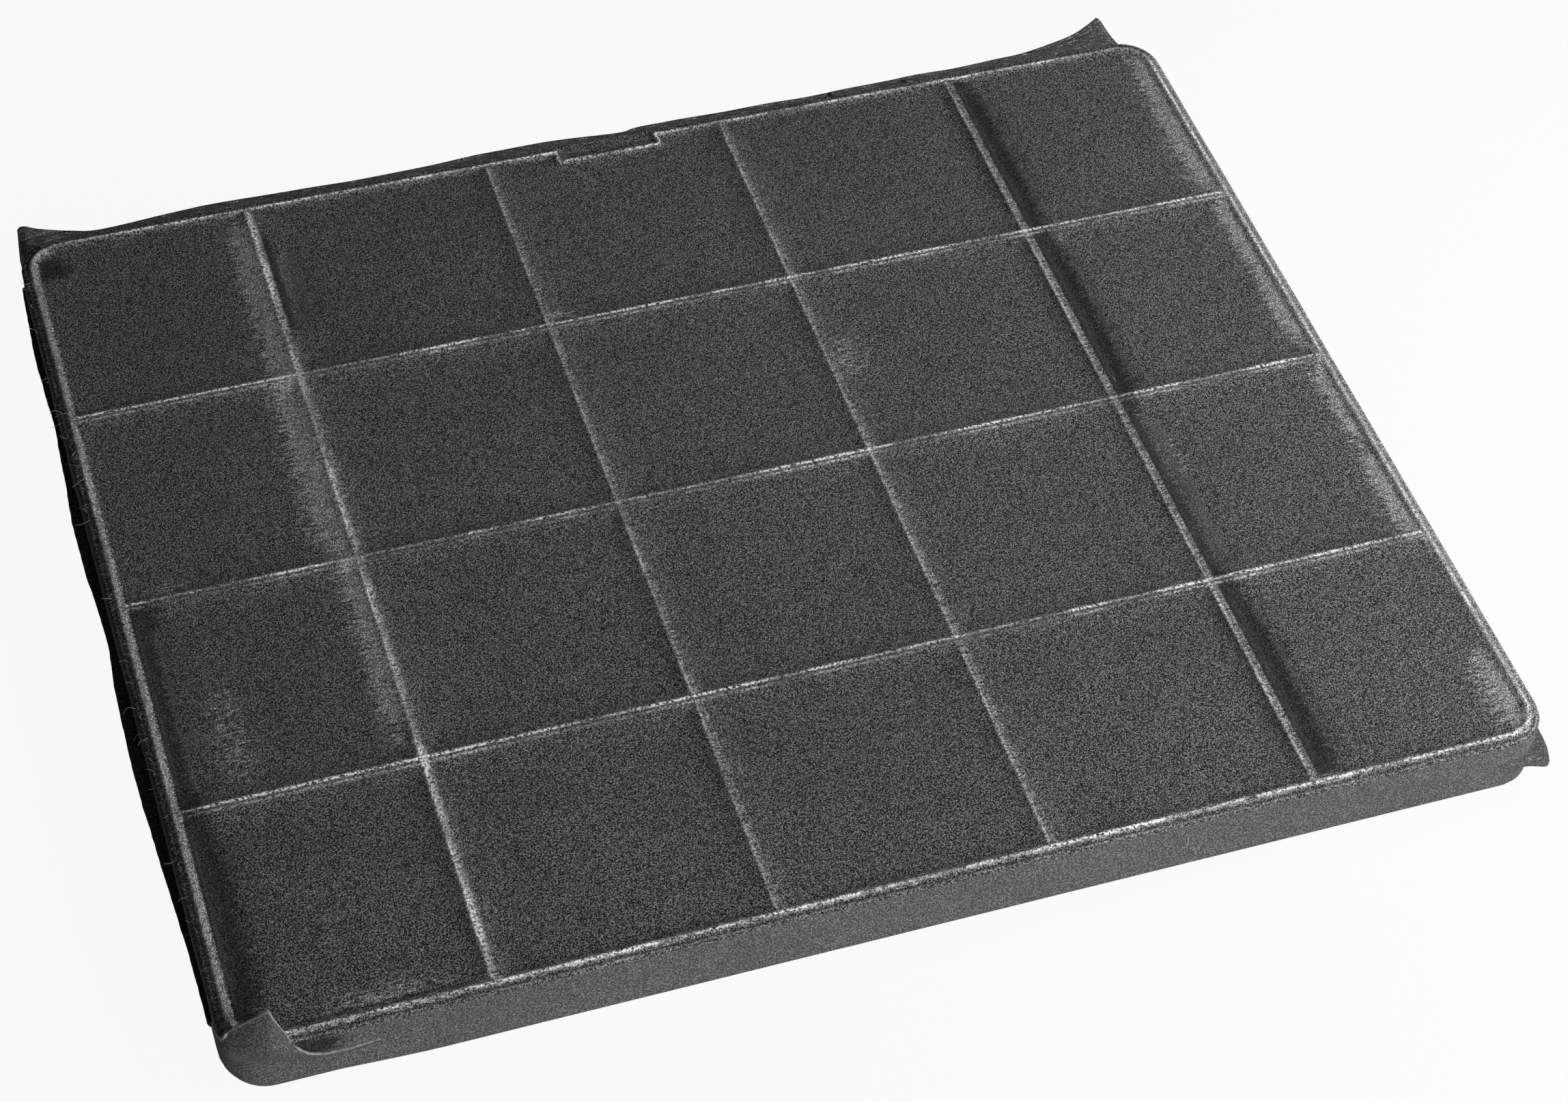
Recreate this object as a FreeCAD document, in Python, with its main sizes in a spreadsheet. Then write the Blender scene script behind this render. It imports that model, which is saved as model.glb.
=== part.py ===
import FreeCAD, Part
import Sketcher
import math
import os

# Flat carbon filter of a cooker hood: a moulded tray with a grid of cells, a grid lid let into
# it, a filling of carbon in every cell, and a knit sleeve pulled tight over the whole cassette.
# Origin: middle of the underside of the sleeve. +X to the right, +Y to the back, +Z up.

# Driving sizes, in millimetres and degrees

SIZES = {
    # tray
    "tray_length": 289.7,
    "tray_depth": 235.4,
    "tray_height": 13.8,
    "corner_radius": 9.0,
    "tray_wall": 1.2,
    "lid_ledge": 1.2,
    "divider": 1.4,
    "column_pitch": 60.0,
    # lid
    "lid_height": 2.0,
    "lid_proud": 0.6,
    "lid_bead": 1.2,
    "lid_rib": 1.6,
    "lid_gap": 0.1,
    "notch_length": 24.0,
    "notch_depth": 3.4,
    # filling
    "fill_gap": 0.1,
    # sleeve
    "cloth": 0.7,
    "cloth_gap": 0.1,
    "top_sag": 0.8,
    "top_taper": 52.0,
    "base_sag": 0.4,
    "base_taper": 62.0,
    "edge_round": 1.1,
    "hollow_depth": 1.3,
    "hollow_width": 7.0,
    "hollow_end": 6.0,
    # welded seam: a doubled strip of cloth at half height, and the spare corners
    "seam_cloth": 1.0,
    "side_fin": 2.2,
    "back_fin": 3.5,
    "back_fin_rise": 5.2,
    "back_left_ear": 7.0,
    "back_left_rise": 6.0,
    "back_right_ear": 10.8,
    "back_right_rise": 6.5,
    "front_right_ear": 1.6,
    "front_left_ear": 12.0,
}

ROWS = 4
COLUMNS = 5
ROW_RIBS = ROWS - 1
COLUMN_RIBS = COLUMNS - 1

# Places where the filling has settled away from a wall, so that the sleeve sinks in:
# name, rib or wall on its left, middle of its length in rows from the front, length in rows
HOLLOWS = [
    ("column_4_row_1", 4, 3.50, 0.92),
    ("column_4_row_2", 4, 2.50, 0.90),
    ("column_4_row_3", 4, 1.50, 0.88),
    ("column_4_row_4", 4, 0.52, 0.84),
    ("left_wall_row_3", 0, 1.50, 0.92),
    ("left_wall_row_4", 0, 0.55, 0.82),
    ("column_1_row_1", 1, 3.52, 0.50),
]

doc = FreeCAD.newDocument("carbon_filter")
sheet = doc.addObject("Spreadsheet::Sheet", "sizes")
for line, (alias, number) in enumerate(SIZES.items(), start=1):
    sheet.set(f"A{line}", alias)
    sheet.set(f"B{line}", str(number))
    sheet.setAlias(f"B{line}", alias)
doc.recompute()


def named(text):
    """Expression in which every driving size is read from the sheet."""
    for alias in sorted(SIZES, key=len, reverse=True):
        text = text.replace(f"[{alias}]", f"sizes.{alias}")
    return text


def number(text):
    """Present value of an expression."""
    result = sheet.evalExpression(named(text))
    return float(getattr(result, "Value", result))


# Places worked out from the driving sizes. X stands for the length, Y for the depth.

HALF = {"x": "([tray_length] / 2)", "y": "([tray_depth] / 2)"}
SEAT = {a: f"({HALF[a]} - [tray_wall])" for a in "xy"}
CELLS = {a: f"({SEAT[a]} - [lid_ledge])" for a in "xy"}
LID = {a: f"({SEAT[a]} - [lid_gap])" for a in "xy"}
LID_INSIDE = {a: f"({LID[a]} - [lid_bead])" for a in "xy"}
CAVITY = {a: f"({HALF[a]} + [cloth_gap])" for a in "xy"}
SLEEVE = {a: f"({CAVITY[a]} + [cloth])" for a in "xy"}
FILL = {a: f"(min({CELLS[a]}; {LID_INSIDE[a]}) - [fill_gap])" for a in "xy"}
OUTSIDE = "5"

SEAT_RADIUS = "([corner_radius] - [tray_wall])"
CELLS_RADIUS = f"({SEAT_RADIUS} - [lid_ledge])"
LID_RADIUS = f"({SEAT_RADIUS} - [lid_gap])"
LID_INSIDE_RADIUS = f"({LID_RADIUS} - [lid_bead])"
CAVITY_RADIUS = "([corner_radius] + [cloth_gap])"
SLEEVE_RADIUS = f"({CAVITY_RADIUS} + [cloth])"

ROW_PITCH = f"((2 * {CELLS['y']} + [divider]) / {ROWS})"
PITCH = {"x": "[column_pitch]", "y": ROW_PITCH}

TRAY_BASE = "([cloth] + [cloth_gap])"
LIP_TOP = f"({TRAY_BASE} + [tray_height])"
LID_TOP = f"({LIP_TOP} + [lid_proud])"
LID_BASE = f"({LID_TOP} - [lid_height])"
CAVITY_TOP = f"({LID_TOP} + [cloth_gap])"
SLEEVE_TOP = f"({CAVITY_TOP} + [cloth])"
SEAM_Z = f"({SLEEVE_TOP} / 2)"
FILL_BASE = "([base_sag] + [cloth] + [fill_gap])"
FILL_TOP = f"({SLEEVE_TOP} - [top_sag] - [cloth] - [fill_gap])"


# Sketches

def origin_plane(body, role):
    return next(f for f in body.Origin.OriginFeatures if f.Role == role)


def new_body(name):
    body = doc.addObject("PartDesign::Body", name)
    body.Label = name
    return body


def level_sketch(body, name, height):
    """Empty sketch parallel to the ground at a height."""
    sketch = body.newObject("Sketcher::SketchObject", name)
    sketch.AttachmentSupport = (origin_plane(body, "XY_Plane"), [""])
    sketch.MapMode = "FlatFace"
    sketch.setExpression("AttachmentOffset.Base.z", named(height))
    return sketch


def bind(sketch, constraint, expression):
    """Adds a dimension whose value is an expression."""
    index = sketch.addConstraint(constraint)
    sketch.renameConstraint(index, f"size_{index}")
    sketch.setExpression(f"Constraints.size_{index}", named(expression))


def add_rectangle(sketch, low_x, high_x, low_y, high_y):
    """Rectangle given by its four sides."""
    left, right, front, back = (number(side) for side in (low_x, high_x, low_y, high_y))
    corners = [(left, front), (right, front), (right, back), (left, back)]
    points = [FreeCAD.Vector(px, py, 0) for px, py in corners]
    first = len(sketch.Geometry)
    for i in range(4):
        sketch.addGeometry(Part.LineSegment(points[i], points[(i + 1) % 4]), False)
    for i in range(4):
        sketch.addConstraint(Sketcher.Constraint("Coincident", first + i, 2, first + (i + 1) % 4, 1))
    for i, kind in enumerate(["Horizontal", "Vertical", "Horizontal", "Vertical"]):
        sketch.addConstraint(Sketcher.Constraint(kind, first + i))
    sides = [("DistanceX", 3, left, low_x), ("DistanceX", 1, right, high_x),
             ("DistanceY", 0, front, low_y), ("DistanceY", 2, back, high_y)]
    for kind, line, place, expression in sides:
        bind(sketch, Sketcher.Constraint(kind, -1, 1, first + line, 1, place), expression)


def add_rounded(sketch, half_x, half_y, radius):
    """Rectangle about the middle with rounded corners."""
    hx, hy, r = number(half_x), number(half_y), number(radius)
    first = len(sketch.Geometry)
    right_angle = math.pi / 2
    ends = [((-hx + r, -hy), (hx - r, -hy)), ((hx, -hy + r), (hx, hy - r)),
            ((hx - r, hy), (-hx + r, hy)), ((-hx, hy - r), (-hx, -hy + r))]
    middles = [(hx - r, -hy + r), (hx - r, hy - r), (-hx + r, hy - r), (-hx + r, -hy + r)]
    for i in range(4):
        start, end = (FreeCAD.Vector(px, py, 0) for px, py in ends[i])
        sketch.addGeometry(Part.LineSegment(start, end), False)
        circle = Part.Circle(FreeCAD.Vector(*middles[i], 0), FreeCAD.Vector(0, 0, 1), r)
        arc = Part.ArcOfCircle(circle, (i - 1) * right_angle, i * right_angle)
        sketch.addGeometry(arc, False)
    for i in range(4):
        line, arc, after = first + 2 * i, first + 2 * i + 1, first + (2 * i + 2) % 8
        sketch.addConstraint(Sketcher.Constraint("Tangent", line, 2, arc, 1))
        sketch.addConstraint(Sketcher.Constraint("Tangent", arc, 2, after, 1))
        if i:
            sketch.addConstraint(Sketcher.Constraint("Equal", first + 1, arc))
    for i, kind in enumerate(["Horizontal", "Vertical", "Horizontal", "Vertical"]):
        sketch.addConstraint(Sketcher.Constraint(kind, first + 2 * i))
    bind(sketch, Sketcher.Constraint("Radius", first + 1, r), radius)
    bind(sketch, Sketcher.Constraint("DistanceX", -1, 1, first + 2, 1, hx), half_x)
    bind(sketch, Sketcher.Constraint("DistanceX", first + 6, 1, -1, 1, hx), half_x)
    bind(sketch, Sketcher.Constraint("DistanceY", -1, 1, first + 4, 1, hy), half_y)
    bind(sketch, Sketcher.Constraint("DistanceY", first + 0, 1, -1, 1, hy), half_y)


# Features

def add_pad(body, sketch, length, down=False, taper=None):
    pad = body.newObject("PartDesign::Pad", sketch.Name + "_pad")
    pad.Profile = sketch
    pad.Reversed = down
    pad.setExpression("Length", named(length))
    if taper:
        pad.setExpression("TaperAngle", named(f"-1 * {taper}"))
    body.Tip = pad
    return pad


def add_pocket(body, sketch, depth, up=False, taper=None):
    pocket = body.newObject("PartDesign::Pocket", sketch.Name + "_pocket")
    pocket.Profile = sketch
    pocket.Reversed = up
    pocket.setExpression("Length", named(depth))
    if taper:
        pocket.setExpression("TaperAngle", named(taper))
    body.Tip = pocket
    return pocket


def repeat(body, feature, sketch, axis, extent, count):
    """Copies of a feature in a row, the last one at the extent from the first."""
    pattern = body.newObject("PartDesign::LinearPattern", feature.Name + "_row")
    pattern.Originals = [feature]
    pattern.Direction = (sketch, [axis])
    pattern.Mode = "Extent"
    pattern.Occurrences = count
    pattern.setExpression("Length", named(extent))
    body.Tip = pattern
    return pattern


def add_grid(body, label, height, rise, half_width, reach, down=False, taper=None):
    """Four bars across the depth and three along the length, on the lines of the dividers."""
    first_x = f"(-{(COLUMN_RIBS - 1) / 2} * {PITCH['x']})"
    first_y = f"(-{(ROW_RIBS - 1) / 2} * {PITCH['y']})"
    bars = level_sketch(body, label + "_column", height)
    add_rectangle(bars, f"{first_x} - {half_width}", f"{first_x} + {half_width}",
                  f"-{reach['y']}", f"{reach['y']}")
    pad = add_pad(body, bars, rise, down, taper)
    repeat(body, pad, bars, "H_Axis", f"{COLUMN_RIBS - 1} * {PITCH['x']}", COLUMN_RIBS)
    bars = level_sketch(body, label + "_row", height)
    add_rectangle(bars, f"-{reach['x']}", f"{reach['x']}",
                  f"{first_y} - {half_width}", f"{first_y} + {half_width}")
    pad = add_pad(body, bars, rise, down, taper)
    repeat(body, pad, bars, "V_Axis", f"{ROW_RIBS - 1} * {PITCH['y']}", ROW_RIBS)


def add_notch(body, label, height, rise, frame, inset, run="0", taper=None):
    """Wall of the finger notch in the back of the bead, with the notch cut out of it.
    The frame is the wall's width and the inset makes the notch itself smaller."""
    half = "[notch_length] / 2"
    floor_y = f"{LID['y']} - [notch_depth]"
    wall = level_sketch(body, label + "_wall", height)
    add_rectangle(wall, f"-({half} + {frame} + {run})", f"{half} + {frame} + {run}",
                  f"{floor_y} - {frame} - {run}", f"{LID['y']} - [lid_bead] / 2")
    add_pad(body, wall, rise, taper=taper)
    notch = level_sketch(body, label, f"{height} + {rise}")
    add_rectangle(notch, f"-({half} - {inset})", f"{half} - {inset}",
                  f"{floor_y} + {inset}", f"{HALF['y']} + {OUTSIDE}")
    return notch


# Tray: outer wall with a ledge for the lid, open cells with dividing walls

tray = new_body("tray")
outline = level_sketch(tray, "tray_outline", TRAY_BASE)
add_rounded(outline, HALF["x"], HALF["y"], "[corner_radius]")
add_pad(tray, outline, "[tray_height]")
seat = level_sketch(tray, "lid_seat", LIP_TOP)
add_rounded(seat, SEAT["x"], SEAT["y"], SEAT_RADIUS)
add_pocket(tray, seat, f"{LIP_TOP} - {LID_BASE}")
cells = level_sketch(tray, "cells", LID_BASE)
add_rounded(cells, CELLS["x"], CELLS["y"], CELLS_RADIUS)
add_pocket(tray, cells, f"{LID_BASE} - {TRAY_BASE}")
into_ledge = {a: f"({CELLS[a]} + [lid_ledge] / 2)" for a in "xy"}
add_grid(tray, "divider", TRAY_BASE, f"{LID_BASE} - {TRAY_BASE}", "[divider] / 2", into_ledge)

# Lid: bead round the edge with a finger notch at the back, and a rib over every dividing wall

lid = new_body("lid")
outline = level_sketch(lid, "lid_outline", LID_BASE)
add_rounded(outline, LID["x"], LID["y"], LID_RADIUS)
add_pad(lid, outline, "[lid_height]")
opening = level_sketch(lid, "lid_opening", LID_TOP)
add_rounded(opening, LID_INSIDE["x"], LID_INSIDE["y"], LID_INSIDE_RADIUS)
add_pocket(lid, opening, "[lid_height]")
into_bead = {a: f"({LID_INSIDE[a]} + [lid_bead] / 2)" for a in "xy"}
add_grid(lid, "rib", LID_BASE, "[lid_height]", "[lid_rib] / 2", into_bead)
notch = add_notch(lid, "lid_notch", LID_BASE, "[lid_height]", "[lid_bead]", "0")
add_pocket(lid, notch, "[lid_height]")

# Sleeve: the outside of the cloth, drawn over bead, lip and ribs, and sunk between them

RIB_FOOT = "([lid_rib] / 2 + [cloth_gap])"
TOP_RUN = "([top_sag] * tan([top_taper]))"
BASE_RUN = "([base_sag] * tan([base_taper]))"
BASE_FOOT = "([divider] / 2 + [cloth_gap])"
RIDGE = {a: f"({LID[a]} + [cloth_gap] + [cloth])" for a in "xy"}
RIDGE_RADIUS = f"({LID_RADIUS} + [cloth_gap] + [cloth])"
TOP_FIELD = {a: f"({LID_INSIDE[a]} - [cloth_gap])" for a in "xy"}
TOP_FIELD_RADIUS = f"({LID_INSIDE_RADIUS} - [cloth_gap])"
BASE_FIELD = {a: f"({CELLS[a]} - [cloth_gap])" for a in "xy"}
BASE_FIELD_RADIUS = f"({CELLS_RADIUS} - [cloth_gap])"
SUNK_TOP = {a: f"({TOP_FIELD[a]} - [cloth])" for a in "xy"}
SUNK_BASE = {a: f"({BASE_FIELD[a]} - [cloth])" for a in "xy"}


def add_lip_step(body, label, top, inside, radius):
    """Lowers the edge outside the bead to the level of the tray's lip."""
    step = level_sketch(body, label, top)
    around = {a: f"({HALF[a]} + {OUTSIDE})" for a in "xy"}
    add_rectangle(step, f"-{around['x']}", around["x"], f"-{around['y']}", around["y"])
    add_rounded(step, inside["x"], inside["y"], radius)
    add_pocket(body, step, "[lid_proud]")


def round_outer_edges(body, name):
    """Rounds every edge that runs level round the outer wall."""
    base = body.Tip
    reach = number(SLEEVE["x"]), number(SLEEVE["y"])
    inset = number(SLEEVE_RADIUS)

    def on_outer_wall(edge):
        box = edge.BoundBox
        middle = edge.CenterOfMass
        straight = abs(abs(middle.x) - reach[0]) < 0.01 or abs(abs(middle.y) - reach[1]) < 0.01
        corner = abs(max(box.XMax, -box.XMin) - reach[0]) < 0.01 and box.XLength < inset + 0.01
        return box.ZLength < 0.01 and (straight or corner)

    edges = [f"Edge{i}" for i, edge in enumerate(base.Shape.Edges, start=1)
             if on_outer_wall(edge)]
    fillet = body.newObject("PartDesign::Fillet", name)
    fillet.Base = (base, edges)
    fillet.setExpression("Radius", named("[edge_round]"))
    body.Tip = fillet


outside = new_body("sleeve_outside")
outline = level_sketch(outside, "sleeve_outline", "0")
add_rounded(outline, SLEEVE["x"], SLEEVE["y"], SLEEVE_RADIUS)
add_pad(outside, outline, SLEEVE_TOP)
add_lip_step(outside, "lip_step", SLEEVE_TOP, RIDGE, RIDGE_RADIUS)
doc.recompute()
round_outer_edges(outside, "outer_edges")
field = level_sketch(outside, "top_field", SLEEVE_TOP)
add_rounded(field, SUNK_TOP["x"], SUNK_TOP["y"], f"({TOP_FIELD_RADIUS} - [cloth])")
add_pocket(outside, field, "[top_sag]")
top_floor = f"({SLEEVE_TOP} - [top_sag])"
add_grid(outside, "top_rib", top_floor, "[top_sag]", f"({RIB_FOOT} + {TOP_RUN})", LID,
         taper="[top_taper]")
notch = add_notch(outside, "top_notch", top_floor, "[top_sag]", "[lid_bead]", "[cloth]",
                  TOP_RUN, "[top_taper]")
add_pocket(outside, notch, "[lid_proud]")
field = level_sketch(outside, "base_field", "0")
add_rounded(field, SUNK_BASE["x"], SUNK_BASE["y"], f"({BASE_FIELD_RADIUS} - [cloth])")
add_pocket(outside, field, "[base_sag]", up=True)
add_grid(outside, "base_rib", "[base_sag]", "[base_sag]", f"({BASE_FOOT} + {BASE_RUN})", CAVITY,
         down=True, taper="[base_taper]")

# Sleeve: the inside of the cloth, which clears the cassette and the filling

inside = new_body("sleeve_inside")
outline = level_sketch(inside, "cavity_outline", "[cloth]")
add_rounded(outline, CAVITY["x"], CAVITY["y"], CAVITY_RADIUS)
add_pad(inside, outline, f"{CAVITY_TOP} - [cloth]")
field = level_sketch(inside, "cavity_top_field", CAVITY_TOP)
add_rounded(field, TOP_FIELD["x"], TOP_FIELD["y"], TOP_FIELD_RADIUS)
add_pocket(inside, field, "[top_sag]")
cavity_floor = f"({CAVITY_TOP} - [top_sag])"
add_grid(inside, "cavity_top_rib", cavity_floor, "[top_sag]", RIB_FOOT, LID)
notch = add_notch(inside, "cavity_notch", cavity_floor, "[top_sag]",
                  "([lid_bead] + [cloth_gap])", "[cloth_gap]")
add_pocket(inside, notch, "[lid_proud]")
CAVITY_STEP = {a: f"({LID[a]} + [cloth_gap])" for a in "xy"}
add_lip_step(inside, "cavity_step", CAVITY_TOP, CAVITY_STEP, f"({LID_RADIUS} + [cloth_gap])")
field = level_sketch(inside, "cavity_base_field", "[cloth]")
add_rounded(field, BASE_FIELD["x"], BASE_FIELD["y"], BASE_FIELD_RADIUS)
add_pocket(inside, field, "[base_sag]", up=True)
add_grid(inside, "cavity_base_rib", "[base_sag] + [cloth]", "[base_sag]", BASE_FOOT, CAVITY,
         down=True)

# Sleeve: hollows where the cloth has sunk after the filling settled

HOLLOW_STEEP = 0.6
HOLLOW_BED = 2.0


def hollow_tool(name, layer, depth_below, left, rib, middle, length):
    """Trough with a steep left side and a long gentle right side, a layer below the cloth."""
    rib_place = f"{rib - COLUMNS / 2} * {PITCH['x']}"
    start = f"({rib_place} + {RIB_FOOT} + {TOP_RUN})" if rib else f"(-{SUNK_TOP['x']})"
    tool = doc.addObject("Part::Wedge", f"{name}_{layer}")
    tool.Placement.Rotation = FreeCAD.Rotation(FreeCAD.Vector(1, 0, 0), -90)
    d = depth_below
    span = f"({length} * {PITCH['y']} / 2)"
    bounds = {
        "Xmin": f"-({left})", "Xmax": f"[hollow_width] + {d} / 2", "Ymin": "0",
        "Ymax": "[hollow_depth]", "Zmin": f"-({span} + {d})", "Zmax": f"{span} + {d}",
        "X2min": f"{HOLLOW_STEEP} - ({left})", "X2max": f"{HOLLOW_BED} + {d} / 2",
        "Z2min": f"-({span} + {d} - [hollow_end])", "Z2max": f"{span} + {d} - [hollow_end]",
    }
    for side, expression in bounds.items():
        tool.setExpression(side, named(expression))
    tool.setExpression("Placement.Base.x", named(start))
    tool.setExpression("Placement.Base.y", named(f"({middle} - {ROWS / 2}) * {PITCH['y']}"))
    tool.setExpression("Placement.Base.z", named(f"{top_floor} - {d}"))
    return tool


def cut(base, tools, name):
    """Base with every tool taken out of it."""
    if len(tools) > 1:
        joined = doc.addObject("Part::MultiFuse", name + "_tools")
        joined.Shapes = tools
    else:
        joined = tools[0]
    result = doc.addObject("Part::Cut", name)
    result.Base = base
    result.Tool = joined
    return result


def hollow_tools(layer, depth_below, left):
    return [hollow_tool(name, layer, depth_below, left, rib, middle, length)
            for name, rib, middle, length in HOLLOWS]


sunk_outside = cut(outside, hollow_tools("outside", "0", "0"), "sunk_outside")
sunk_inside = cut(inside, hollow_tools("inside", "[cloth]", "[cloth] * 0.7"), "sunk_inside")

# Sleeve: the welded seam at half height, and the spare corners of the flat bag

doc.recompute()
edge_x = number(SLEEVE["x"])
edge_y = number(SLEEVE["y"])
seam_z = number(SEAM_Z)


def size(alias):
    return number(f"[{alias}]")


def two_triangles(a, b, c, d):
    """Four-sided patch as two flat triangles that share the side from a to c."""
    return [(a, b, c), (a, c, d)]


def ribbon(name, stations, layer=None):
    """Strip of doubled cloth: each station runs from its root in the wall to its free edge.
    The two faces lie half a thickness off to each side, or are one layer vector apart."""
    rows = [[FreeCAD.Vector(*point) for point in station] for station in stations]
    half = size("seam_cloth") / 2
    upper, lower = [], []
    for i, row in enumerate(rows):
        run = rows[min(i + 1, len(rows) - 1)][0] - rows[max(i - 1, 0)][0]
        offsets = []
        for k in range(len(row)):
            across = row[min(k + 1, len(row) - 1)] - row[max(k - 1, 0)]
            offsets.append(layer / 2 if layer else across.cross(run).normalize() * half)
        upper.append([point + offset for point, offset in zip(row, offsets)])
        lower.append([point - offset for point, offset in zip(row, offsets)])
    facets = []
    last_station, last_point = len(rows) - 1, len(rows[0]) - 1
    for i in range(last_station):
        for k in range(last_point):
            for side in (upper, lower):
                here, after = side[i], side[i + 1]
                facets += two_triangles(here[k], here[k + 1], after[k + 1], after[k])
        for k in (0, last_point):
            facets += two_triangles(upper[i][k], upper[i + 1][k], lower[i + 1][k], lower[i][k])
    for i in (0, last_station):
        for k in range(last_point):
            facets += two_triangles(upper[i][k], upper[i][k + 1], lower[i][k + 1], lower[i][k])
    faces = [Part.Face(Part.makePolygon([*facet, facet[0]])) for facet in facets]
    shell = Part.makeShell(faces)
    shell.sewShape()
    solid = Part.Solid(shell)
    if solid.Volume < 0:
        solid.reverse()
    item = doc.addObject("Part::Feature", name)
    item.Shape = solid
    return item


ROOT = 4.5
fin_out, fin_up = size("back_fin"), size("back_fin_rise")


def back_station(x, ear_out, ear_up, share, root_in=0.0):
    """Station of the back seam: share is 0 on the plain fin and 1 at the tip of an ear."""
    out = fin_out + (ear_out - fin_out) * share
    up = fin_up + (ear_up - fin_up) * share
    return [(x, edge_y - ROOT - root_in, seam_z), (x, edge_y - root_in, seam_z),
            (x, edge_y + out, seam_z + up)]


left_ear = size("back_left_ear"), size("back_left_rise")
right_ear = size("back_right_ear"), size("back_right_rise")
back_seam = ribbon("back_seam", [
    back_station(2.4 - edge_x, *left_ear, 1.0, 3.4),
    back_station(11.6 - edge_x, *left_ear, 0.40),
    back_station(24.0 - edge_x, *left_ear, 0.0),
    back_station(edge_x - 29.0, *right_ear, 0.0),
    back_station(edge_x - 17.5, *right_ear, 0.52),
    back_station(edge_x - 9.0, *right_ear, 1.0, 1.0),
    [(edge_x - 3.2, edge_y - ROOT - 5.5, seam_z), (edge_x - 3.2, edge_y - 6.5, seam_z),
     (edge_x - 2.8, edge_y - 5.0, seam_z + 0.3)],
])


def side_station(side, y, out, root_in=ROOT):
    return [(side * (edge_x - root_in), y, seam_z), (side * (edge_x + out), y, seam_z)]


side_out = size("side_fin")
left_seam = ribbon("left_seam", [
    side_station(-1, edge_y - 12.0, 0.2),
    side_station(-1, edge_y - 26.0, side_out * 0.6),
    side_station(-1, 0.0, side_out),
    side_station(-1, 26.0 - edge_y, side_out * 0.8),
    side_station(-1, 14.0 - edge_y, 0.4),
])
right_seam = ribbon("right_seam", [
    side_station(1, edge_y - 12.0, 0.2),
    side_station(1, edge_y - 26.0, side_out * 0.6),
    side_station(1, 26.0 - edge_y, side_out * 0.6),
    side_station(1, 5.7 - edge_y, 1.0, 8.0),
    side_station(1, -edge_y - size("front_right_ear"), -0.6, 5.5),
])

# Front left ear: folded up round the corner, its tip leaning in over the bead.
# Each station is root, knee and free edge, as millimetres in from the left of the sleeve,
# out from its front and up from the seam.
FLAP_HEIGHT = 12.0
ear_scale = size("front_left_ear") / FLAP_HEIGHT
FLAP = [
    [(1.4, -15.5, -1.5), (-0.3, -15.5, -0.2), (-0.5, -15.4, 0.9)],
    [(1.4, -8.0, 0.0), (-0.5, -7.5, 4.0), (-0.4, -5.9, 7.4)],
    [(3.9, -3.9, 0.0), (2.6, -2.6, 7.6), (5.0, -5.2, 10.2)],
    [(8.9, -1.4, 0.0), (9.1, 0.6, 7.9), (10.4, -5.4, FLAP_HEIGHT)],
    [(12.7, -1.4, 0.0), (12.8, 0.6, 6.5), (12.2, -2.8, 9.4)],
    [(15.7, -1.4, 0.0), (15.4, 0.5, 2.6), (15.2, 0.6, 5.4)],
    [(23.2, -1.4, -1.5), (23.2, 0.2, -0.2), (23.2, 0.3, 0.9)],
]
front_left_flap = ribbon("front_left_flap", [
    [(dx - edge_x, -edge_y - dy, seam_z + dz * ear_scale) for dx, dy, dz in station]
    for station in FLAP
], FreeCAD.Vector(0.65, 0.65, -0.3) * size("seam_cloth"))

sleeve_solid = doc.addObject("Part::MultiFuse", "sleeve_solid")
sleeve_solid.Shapes = [sunk_outside, back_seam, left_seam, right_seam, front_left_flap]
cover = doc.addObject("Part::Cut", "cover")
cover.Base = sleeve_solid
cover.Tool = sunk_inside

# Filling: one bed of granules in every cell, level with the cloth and lower under the hollows

FILL_SIDE = "(max([divider]; [lid_rib]) / 2 + [fill_gap])"

fill_outline = new_body("fill_outline")
outline = level_sketch(fill_outline, "fill_sketch", FILL_BASE)
add_rounded(outline, FILL["x"], FILL["y"], f"({CELLS_RADIUS} - [fill_gap])")
add_pad(fill_outline, outline, f"{FILL_TOP} - {FILL_BASE}")

notch_clearance = doc.addObject("Part::Box", "notch_clearance")
notch_half = "([notch_length] / 2 + [lid_bead] + [fill_gap])"
notch_front = f"({LID['y']} - [notch_depth] - [lid_bead] - [fill_gap])"
for side, expression in {
    "Length": f"2 * {notch_half}", "Width": f"{HALF['y']} - {notch_front}",
    "Height": "[lid_height]", "Placement.Base.x": f"-{notch_half}",
    "Placement.Base.y": notch_front, "Placement.Base.z": f"{LID_BASE} - [fill_gap]",
}.items():
    notch_clearance.setExpression(side, named(expression))

fill_hollows = {}
for name, rib, middle, length in HOLLOWS:
    tool = hollow_tool(name, "fill", "([cloth] + [fill_gap])", f"{RIB_FOOT} + {TOP_RUN}",
                       rib, middle, length)
    fill_hollows.setdefault((int(middle), rib + 1), []).append(tool)


def cell_side(index, count, axis, wall):
    """Side of a cell's filling: by the outer wall, or by the dividing wall of that number."""
    if index in (0, count):
        return f"{'-' if index == 0 else ''}{FILL[axis]}"
    place = f"{index - count / 2} * {PITCH[axis]}"
    return f"({place} {wall} {FILL_SIDE})"


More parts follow.
